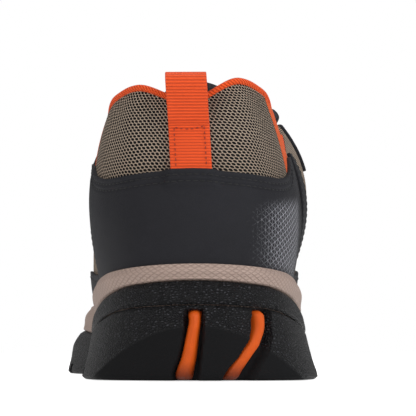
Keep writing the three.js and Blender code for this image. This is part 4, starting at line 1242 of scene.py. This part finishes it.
class ShoeMidsole(bpy.types.Operator):
    """The foam midsole, with its cup and its rounded lip"""

    bl_idname = "shoe.midsole"
    bl_label = "Midsole"

    def execute(self, context):
        lip_width = sizes().lip_width / MM

        def hidden(s):
            return 7.5 * ramp(np.abs(wrap(s)), 62, 48)

        def under(s):
            return np.minimum(wall_top(s), floor_height(np.abs(wrap(s))) - 1) + GAP

        def step(s):
            a = np.abs(wrap(s))
            return np.where(a <= BAND_END, band_top(a), wall_top(s)) + 0.1

        def lip(s, more=0.0):
            return up_at(s, lip_height(np.abs(wrap(s))) + more)

        def wall(t):
            def ring(s):
                foot = skin(s, step(s), 1.3 * ramp(t, 0.09, 0.0))
                head = on_upper(s, lip(s, -0.7), lip_width)
                out = edge(s, 1.0, 0.0) - edge(s, 0.0, 0.0)
                bulge = 0.9 * math.sin(math.pi * t) - 0.5 * math.sin(2 * math.pi * t)
                return mix(foot, head, t) + out * bulge
            return ring

        rings = [
            lambda s: skin(s, ground(s) + OUTSOLE + UNDERLAYER + 0.6, 5.0 + hidden(s)),
            lambda s: skin(s, under(s), 5.0 + hidden(s)),
            lambda s: skin(s, under(s), 2.9),
            lambda s: skin(s, step(s), 2.9),
        ]
        rings += [wall(t) for t in np.linspace(0, 1, 18)]
        for angle in (25, 50, 75, 100, 130, 165):
            across, up = math.cos(math.radians(angle)), math.sin(math.radians(angle))
            rings.append(
                lambda s, across=across, up=up: on_upper(
                    s, lip(s, -0.7 + 0.8 * up), lip_width - 0.85 + 0.85 * across
                )
            )
        rings += [
            lambda s: on_upper(s, lip(s, -3.5), 1.6),
            lambda s: on_upper(s, lip(s) * 0.4, 0.9),
            lambda s: edge(s, 0.6, base_height(np.abs(wrap(s)))),
            lambda s: edge(s, 0.5, floor_height(np.abs(wrap(s)))),
        ]
        fine = np.arange(0, 68, 1.0)
        halves = np.concatenate([fine, [68, 69, 69.9, 70.1, 71], np.arange(72, 180, 1.2), [180]])
        obj = ring_solid("midsole_foam", halves, rings)
        finish(obj, "shoe", finish_of("foam"), ["midsole"])
        return {"FINISHED"}


# ---------------------------------------------------------------- inside
class ShoeLinings(bpy.types.Operator):
    """The knitted linings of the collar and the vamp, and the footbed"""

    bl_idname = "shoe.linings"
    bl_label = "Linings"

    def execute(self, context):
        for name, a, b, node in (
            ("collar_lining_knit", -101.6, 101.6, "collar_lining"),
            ("vamp_lining_knit", 102.4, 257.6, "vamp_lining"),
        ):
            depth = lambda s, v: -lining_depth(s, v)
            obj = panel(name, a, b, constant(0), constant(1), depth, 1.0, 1.5, 2.0, 0, False)
            finish(close(obj), "shoe", finish_of("lining"), [node])

        def inset(s):
            return -(lining_depth(s, np.zeros(np.shape(s))) + 2.4)

        def level(s):
            return base_height(np.abs(wrap(s)))

        rings = [
            lambda s: edge(s, inset(s) - 3, level(s) + 0.1),
            lambda s: edge(s, inset(s), level(s) + 0.6),
            lambda s: edge(s, inset(s) + 0.2, level(s) + 2.5),
            lambda s: edge(s, inset(s) - 0.3, level(s) + 4.2),
            lambda s: edge(s, inset(s) - 1.6, level(s) + 4.9),
            lambda s: edge(s, inset(s) - 4.0, level(s) + 4.5),
            lambda s: edge(s, inset(s) - 8.0, level(s) + 4.1),
        ]
        obj = ring_solid("footbed_cloth", np.concatenate([np.arange(0, 180, 2.5), [180]]), rings)
        finish(obj, "footbed", finish_of("footbed"), ["footbed"], 60)
        return {"FINISHED"}


class ShoeHidden(bpy.types.Operator):
    """Materials for the pieces that are sealed inside the shoe"""

    bl_idname = "shoe.hidden"
    bl_label = "Sealed pieces"

    def execute(self, context):
        for node, key in (
            ("insole_board", "board"),
            ("heel_stiffener", "board"),
            ("toe_puff", "board"),
            ("shank_plate", "nylon"),
            ("collar_foam", "padding"),
        ):
            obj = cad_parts[node]
            obj.data.materials.clear()
            obj.data.materials.append(finish_of(key))
        return {"FINISHED"}


# ---------------------------------------------------------------- fabric
class ShoeFabric(bpy.types.Operator):
    """The mesh panels and the coloured inserts"""

    bl_idname = "shoe.fabric"
    bl_label = "Fabric"

    def execute(self, context):
        swell = sizes().mesh_swell / MM

        def puffed(s, v):
            return swell * ramp(v, 0.55, 0.75) * ramp(v, 1.0, 0.9) * ramp(np.abs(s), 30, 18)

        everything, top = constant(0), constant(1)
        inner = through((0, 46), (0.5, 44), (0.68, 40.5), (0.85, 37.5), (1, 34.5))
        outer = through((0, 54), (0.6, 54), (1, 50))
        far_inner, far_outer = constant(46.0), constant(54.0)
        medial = lambda v: -far_inner(v)
        rear = panel("rear_mesh", medial, inner, everything, top, puffed, FABRIC, 0.75, 1.2, 0)
        finish(rear, "shoe", finish_of("honeycomb"), ["rear_mesh_panel"])
        for word, side in (("lateral", 1), ("medial", -1)):
            seams = (inner, outer) if side > 0 else (lambda v: -far_outer(v), lambda v: -far_inner(v))
            insert = panel("insert_" + word, *seams, everything, top, 0.15, FABRIC, 0.5, 1.5, 0.3)
            finish(insert, "shoe", finish_of("orange_knit"), ["orange_insert_" + word])
            seams = (outer, 108) if side > 0 else (-108, lambda v: -far_outer(v))
            quarter = panel("quarter_" + word, *seams, everything, top, 0.0, FABRIC, 1.0, 1.5, 0)
            finish(quarter, "shoe", finish_of("striped"), ["quarter_mesh_" + word])
        vamp = panel("vamp_fabric", 108, 252, everything, top, 0.0, FABRIC, 1.2, 1.5, 0)
        finish(vamp, "shoe", finish_of("striped"), ["vamp_mesh"])
        return {"FINISHED"}


# ---------------------------------------------------------------- overlays
class ShoeCounter(bpy.types.Operator):
    """The heel counter cover with its double stitching"""

    bl_idname = "shoe.counter"
    bl_label = "Heel counter"

    def execute(self, context):
        thick = sizes().overlay_thickness / MM
        tab = sizes().webbing_width / MM / 2

        def outer(s, v):
            p = upper_point(s, v)
            below = counter_top(s) - p[..., 2]
            over_tab = 1.9 * ramp(np.abs(p[..., 0] + 1.6), tab + 3.5, tab - 0.5) * ramp(below, 8, 3)
            middle = 0.5 * ramp(below, 4, 16) * ramp(np.abs(s), 56, 40)
            dent = sum(0.22 * np.exp(-((below - d) / 0.7) ** 2) for d in (2.1, 4.4)) * 1.5
            return thick + over_tab + middle - dent

        cover = panel(
            "heel_counter_cover", -60, 60, behind_lip, lambda s: up_at(s, counter_top(s)), outer,
            thick, 0.4, 0.55, 0.4,
        )
        finish(cover, "shoe", finish_of("printed"), ["heel_counter"])
        s = np.linspace(-60, 60, 241)
        rows = []
        for k, distance in enumerate((2.1, 4.4)):
            line, z = beside(s, counter_top(s), distance)
            keep = (z > lip_height(np.abs(line)) + 2) & (np.abs(line) < 59.5)
            line, z = line[keep], z[keep]
            v = up_at(line, z)
            rows.append(stitches(f"row_{k}", line, v, outer(line, v) + 0.1, sizes().stitch_pitch / MM))
        obj = joined("heel_counter_stitches", rows)
        finish(obj, "shoe", finish_of("dark_thread"), ["heel_counter"], 80)
        return {"FINISHED"}


class ShoeOverlays(bpy.types.Operator):
    """Straps, eyestays, mudguards and toe cap, with their stitching"""

    bl_idname = "shoe.overlays"
    bl_label = "Overlays"

    def execute(self, context):
        thick = sizes().overlay_thickness / MM
        pitch = sizes().stitch_pitch / MM
        for word, side in (("lateral", 1), ("medial", -1)):
            rows = []

            def row(s, v, out):
                rows.append(stitches(f"row_{word}_{len(rows)}", s, v, out + 0.1, pitch))

            a, b = sided(side, 62, 71)
            strap = panel(
                "strap_cover_" + word, a, b, behind_lip, constant(0.985), thick, thick, 0.7, 1.5, 0.4
            )
            finish(strap, "shoe", finish_of("leather"), ["strap_" + word])
            for s in (a + 0.9, b - 0.9):
                line = np.full(60, s)
                row(line, np.linspace(float(behind_lip(s)) + 0.06, 0.97, 60), thick)

            a, b = sided(side, 82, 126)
            stay = panel(
                "eyestay_cover_" + word, a, b, lambda s: eyestay_foot(np.abs(s)), constant(1), thick, thick,
                0.9, 0.9, 0.4,
            )
            finish(stay, "shoe", finish_of("leather"), ["eyestay_" + word])
            line = np.linspace(a + 1.2, b - 1.2, 90)
            row(line, eyestay_foot(np.abs(line)) + 0.035, thick)
            row(line, np.full(90, 0.965), thick)

            a, b = sided(side, 96, 144)
            guard = panel(
                "mudguard_cover_" + word, a, b, behind_lip, lambda s: guard_top(np.abs(s)), thick, thick,
                0.9, 0.9, 0.4,
            )
            finish(guard, "shoe", finish_of("leather"), ["mudguard_" + word])
            line = np.linspace(a + 1, b - 1, 90)
            row(line, guard_top(np.abs(line)) - 0.035, thick)
            obj = joined("overlay_stitches_" + word, rows)
            nodes = [kind + word for kind in ("strap_", "eyestay_", "mudguard_")]
            finish(obj, "shoe", finish_of("dark_thread"), nodes, 80)
        cap = panel(
            "toe_cap_rubber", 143, 217, behind_lip, lambda s: cap_top(np.abs(wrap(s))), 2.3, 2.3,
            0.9, 0.9, 0.7,
        )
        finish(cap, "shoe", finish_of("rubber"), ["toe_cap"])
        return {"FINISHED"}


class ShoeCollarRoll(bpy.types.Operator):
    """The soft knitted roll along the collar edge"""

    bl_idname = "shoe.collar_roll"
    bl_label = "Collar roll"

    def execute(self, context):
        stations = np.linspace(-77.6, 77.6, 312)
        deep = lining_depth(stations, np.ones(stations.shape)) + 1.0
        top = upper_point(stations, 1.0)
        up = unit(top - upper_point(stations, 0.97))
        out = upper_normal(stations, 1.0)
        rise = sizes().roll_height / MM
        taper = 0.35 + 0.65 * np.sqrt(ramp(np.abs(stations), 77.6, 72))
        reach = 1.1 - 1.4 * ramp(np.abs(stations), 34, 48)
        sections = []
        for angle in np.linspace(0, 2 * np.pi, 28, endpoint=False):
            across, high = math.cos(angle), math.sin(angle)
            round_x = math.copysign(abs(across) ** 0.75, across)
            round_z = math.copysign(abs(high) ** 0.7, high)
            middle, half = (reach - deep - 0.5) / 2, (reach + deep + 0.5) / 2
            shift = middle + half * round_x
            lift = rise * 0.36 + rise * 0.66 * round_z * taper
            sections.append(top + out * shift[:, None] + up * np.asarray(lift)[..., None])
        obj = sweep("collar_roll_knit", np.stack(sections, 1))
        finish(obj, "shoe", finish_of("roll"), ["collar_roll"], 70)
        return {"FINISHED"}


# ---------------------------------------------------------------- pull tab
class ShoePullTab(bpy.types.Operator):
    """The webbing tab at the back, folded into a loop at its top, and its stitching"""

    bl_idname = "shoe.pull_tab"
    bl_label = "Pull tab"

    def execute(self, context):
        hinge, foot = ACHILLES - 8, COUNTER - 2.5
        thick, width = sizes().webbing_thickness / MM, sizes().webbing_width / MM

        def back(z, out):
            p = on_upper(0, float(up_at(0, z)), out)
            return [0.0, p[1], p[2]]

        root = back(hinge, GAP)
        half = 3.2 + thick / 2
        centre_y, centre_z = root[1] + 0.4 - 3.2, hinge + 19.2 - 3.2 - thick
        points = [back(z, GAP + thick * 1.5) for z in np.linspace(foot, hinge, 4)]
        points += [[0, root[1] - 2.4, hinge + 1.5], [0, root[1] - 3.6, hinge + 5]]
        for t in np.linspace(0, 1, 6):
            angle = math.pi * t
            points.append([0, centre_y - half * math.cos(angle), centre_z + half * math.sin(angle)])
        points += [[0, root[1] - 0.7, hinge + 5], [0, root[1] - 0.6, hinge + 1.5]]
        points += [back(z, GAP + thick * 0.45) for z in np.linspace(hinge, foot, 4)]
        path = curve_through(points, 0.35)
        run = lengths(path[:, None], 0)[:, 0]
        across = np.linspace(-0.5, 0.5, 31) * width
        middle = -0.06 * (path[:, 2] - (COUNTER + 1)) - 1.6
        # The ribbon cups a little round the heel where it is sewn down.
        cup = 0.006 * across[None, :] ** 2 * ramp(path[:, 2], hinge + 6, hinge - 2)[:, None]
        grid = np.stack(
            [
                middle[:, None] + across[None, :],
                path[:, 1][:, None] + cup,
                np.broadcast_to(path[:, 2][:, None], cup.shape),
            ],
            -1,
        )
        uv = np.stack(np.broadcast_arrays(across[None, :], run[:, None]), -1)
        obj = sheet_grid("pull_tab_webbing", grid, uv)
        modify(obj, "SOLIDIFY", thickness=thick * 0.94 * MM, offset=0.0)
        modify(obj, "BEVEL", width=0.3 * MM, segments=2, limit_method="ANGLE", angle_limit=math.radians(50))
        close(obj)
        smooth(obj, 50)
        obj.data.materials.clear()
        obj.data.materials.append(finish_of("webbing"))
        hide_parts("pull_tab_base", "pull_loop")
        start, end = (Vector(to_frame([0.0, root[1] - 1.8, hinge + d])) for d in (-1.5, 3.0))
        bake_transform(obj)
        self.sew(thick, width, hinge, foot)
        return {"FINISHED"}

    def sew(self, thick, width, hinge, foot):
        """Two rows down the sides of the tab, and one across it."""
        fan = np.linspace(-20, 20, 161)
        rows = []

        def row(name, across, z):
            across, z = np.broadcast_arrays(across, z)
            v = up_at(np.zeros(z.shape), z)
            x = -0.06 * (z - (COUNTER + 1)) - 1.6 + across
            s = [np.interp(at, upper_point(fan, height)[:, 0], fan) for at, height in zip(x, v)]
            out = GAP + thick * 2.0 + 0.16 + 0.009 * across ** 2
            rows.append(stitches(name, np.array(s), v, out, 1.9, (1.1, 0.45), 0.12))

        for side in (-1, 1):
            row(f"side_{side}", side * (width / 2 - 2.3), np.linspace(hinge - 2.4, foot + 3.5, 40))
        row("across", np.linspace(-1, 1, 20) * (width / 2 - 2.3), hinge - 2.4)
        obj = joined("pull_tab_stitches", rows)
        finish(obj, "shoe", finish_of("orange_thread"), ["pull_tab_base"], 80)


# ---------------------------------------------------------------- tongue and lacing
class ShoeTongue(bpy.types.Operator):
    """The padded tongue"""

    bl_idname = "shoe.tongue"
    bl_label = "Tongue"

    def execute(self, context):
        inner, outer = tongue_rows(34)
        loop = np.concatenate([outer, inner[:, ::-1]], 1)
        obj = sweep("tongue_padded", loop)
        modify(obj, "BEVEL", width=1.1 * MM, segments=3, limit_method="ANGLE", angle_limit=math.radians(55))
        finish(obj, "tongue", finish_of("lining"), ["tongue"], 60)
        return {"FINISHED"}


class ShoeLacing(bpy.types.Operator):
    """The lace loops and the lace"""

    bl_idname = "shoe.lacing"
    bl_label = "Lacing"

    def execute(self, context):
        for word, side in (("lateral", 1), ("medial", -1)):
            for i, a in enumerate(LOOPS):
                node = f"lace_loop_{word}_{i + 1}"
                obj = lace_loop(node + "_webbing", side * a)
                finish(obj, "shoe", finish_of("strap"), [node])
        path = lace_path()
        along = unit(np.gradient(path, axis=0))
        side_way = np.array([0.0, 0.0, 1.0])
        radius = sizes().lace_diameter / MM / 2
        sections = []
        for p, t in zip(path, along):
            side_way = unit(side_way - t * np.dot(side_way, t))
            other = np.cross(t, side_way)
            angle = np.linspace(0, 2 * np.pi, 12, endpoint=False)[:, None]
            sections.append(p + radius * (np.cos(angle) * side_way + np.sin(angle) * other))
        obj = sweep("lace_braid", np.stack(sections))
        finish(obj, "shoe", finish_of("lace"), ["lace"], 70)
        return {"FINISHED"}


# ---------------------------------------------------------------- stage
class ShoeStage(bpy.types.Operator):
    """A pale floor, soft lights and the camera behind the heel"""

    bl_idname = "shoe.stage"
    bl_label = "Stage"

    def execute(self, context):
        bpy.ops.mesh.primitive_plane_add(size=8, location=(0, 0, -0.0004))
        floor = context.object
        floor.name = "floor"
        paper = Finish("floor_paper", 0.9)
        tone = paper.noise(paper.place(), 0.01, 2)
        paper.done(paper.shade(tone, (0.88, 0.88, 0.88, 1), 0.99, 1.01))
        paper.shader.inputs["Emission Color"].default_value = (1, 1, 1, 1)
        seen = paper.node("ShaderNodeLightPath").outputs["Is Camera Ray"]
        glow = paper.node("ShaderNodeMapRange", {"Value": seen, "To Min": 0.15, "To Max": 0.8}).outputs[0]
        paper.put(paper.shader.inputs["Emission Strength"], glow)
        floor.data.materials.append(paper.material)
        heel = to_frame([0.0, -LAST_LENGTH / 2, 55.0])
        for name, place, power, size, colour in (
            ("key", (-0.75, -1.15, 0.95), 8.8, 0.9, (1.0, 0.985, 0.965)),
            ("fill", (0.95, -0.75, 0.55), 8.2, 0.8, (0.97, 0.985, 1.0)),
            ("low", (0.1, -1.6, 0.12), 1.8, 0.8, (1.0, 1.0, 1.0)),
            ("top", (0.0, 0.25, 1.4), 8.5, 1.2, (1.0, 1.0, 1.0)),
        ):
            bpy.ops.object.light_add(type="AREA", location=place)
            light = context.object
            light.name = name
            light.data.energy = power
            light.data.size = size
            light.data.color = colour
            way = Vector(heel) - Vector(place)
            light.rotation_euler = way.to_track_quat("-Z", "Y").to_euler()
        world = bpy.data.worlds.new("studio")
        world.use_nodes = True
        nodes, links = world.node_tree.nodes, world.node_tree.links
        rays = nodes.new("ShaderNodeLightPath")
        seen = nodes.new("ShaderNodeMapRange")
        seen.inputs["To Min"].default_value = 0.3
        links.new(rays.outputs["Is Camera Ray"], seen.inputs["Value"])
        nodes["Background"].inputs["Color"].default_value = (1, 1, 1, 1)
        links.new(seen.outputs[0], nodes["Background"].inputs["Strength"])
        context.scene.world = world
        turn = math.radians(2.0)
        spot = to_frame([620 * math.sin(turn), -143 - 620 * math.cos(turn), 11.4])
        bpy.ops.object.camera_add(location=spot)
        camera = context.object
        camera.name = "camera"
        camera.data.lens = 149
        camera.data.sensor_width = 36
        camera.rotation_euler = (math.radians(94.68), 0, math.radians(1.584))
        context.scene.camera = camera
        context.scene.view_settings.view_transform = "Standard"
        return {"FINISHED"}


OPERATORS = (
    ShoeHeelOutsole, ShoeForefootOutsole, ShoeUnderlayer, ShoeHeelBand, ShoeMidsole, ShoeLinings, ShoeHidden,
    ShoeFabric, ShoeCounter, ShoeOverlays, ShoeCollarRoll, ShoePullTab, ShoeTongue, ShoeLacing, ShoeStage,
)


class SHOE_PT_pieces(bpy.types.Panel):
    """Sizes, colours and the steps that build the shoe"""

    bl_label = "Shoe"
    bl_idname = "SHOE_PT_pieces"
    bl_space_type = "VIEW_3D"
    bl_region_type = "UI"
    bl_category = "Shoe"

    def draw(self, context):
        for group in (context.scene.shoe_sizes, context.scene.shoe_colours):
            for key in group.__annotations__:
                self.layout.prop(group, key)
        for operator in OPERATORS:
            self.layout.operator(operator.bl_idname)


CLASSES = (ShoeSizes, ShoeColours, *OPERATORS, SHOE_PT_pieces)


def register():
    for cls in CLASSES:
        bpy.utils.register_class(cls)
    bpy.types.Scene.shoe_sizes = bpy.props.PointerProperty(type=ShoeSizes)
    bpy.types.Scene.shoe_colours = bpy.props.PointerProperty(type=ShoeColours)


def unregister():
    del bpy.types.Scene.shoe_sizes
    del bpy.types.Scene.shoe_colours
    for cls in reversed(CLASSES):
        bpy.utils.unregister_class(cls)


def main():
    register()
    for operator in OPERATORS:
        group, _, name = operator.bl_idname.partition(".")
        getattr(getattr(bpy.ops, group), name)()


if __name__ == "__main__":
    main()
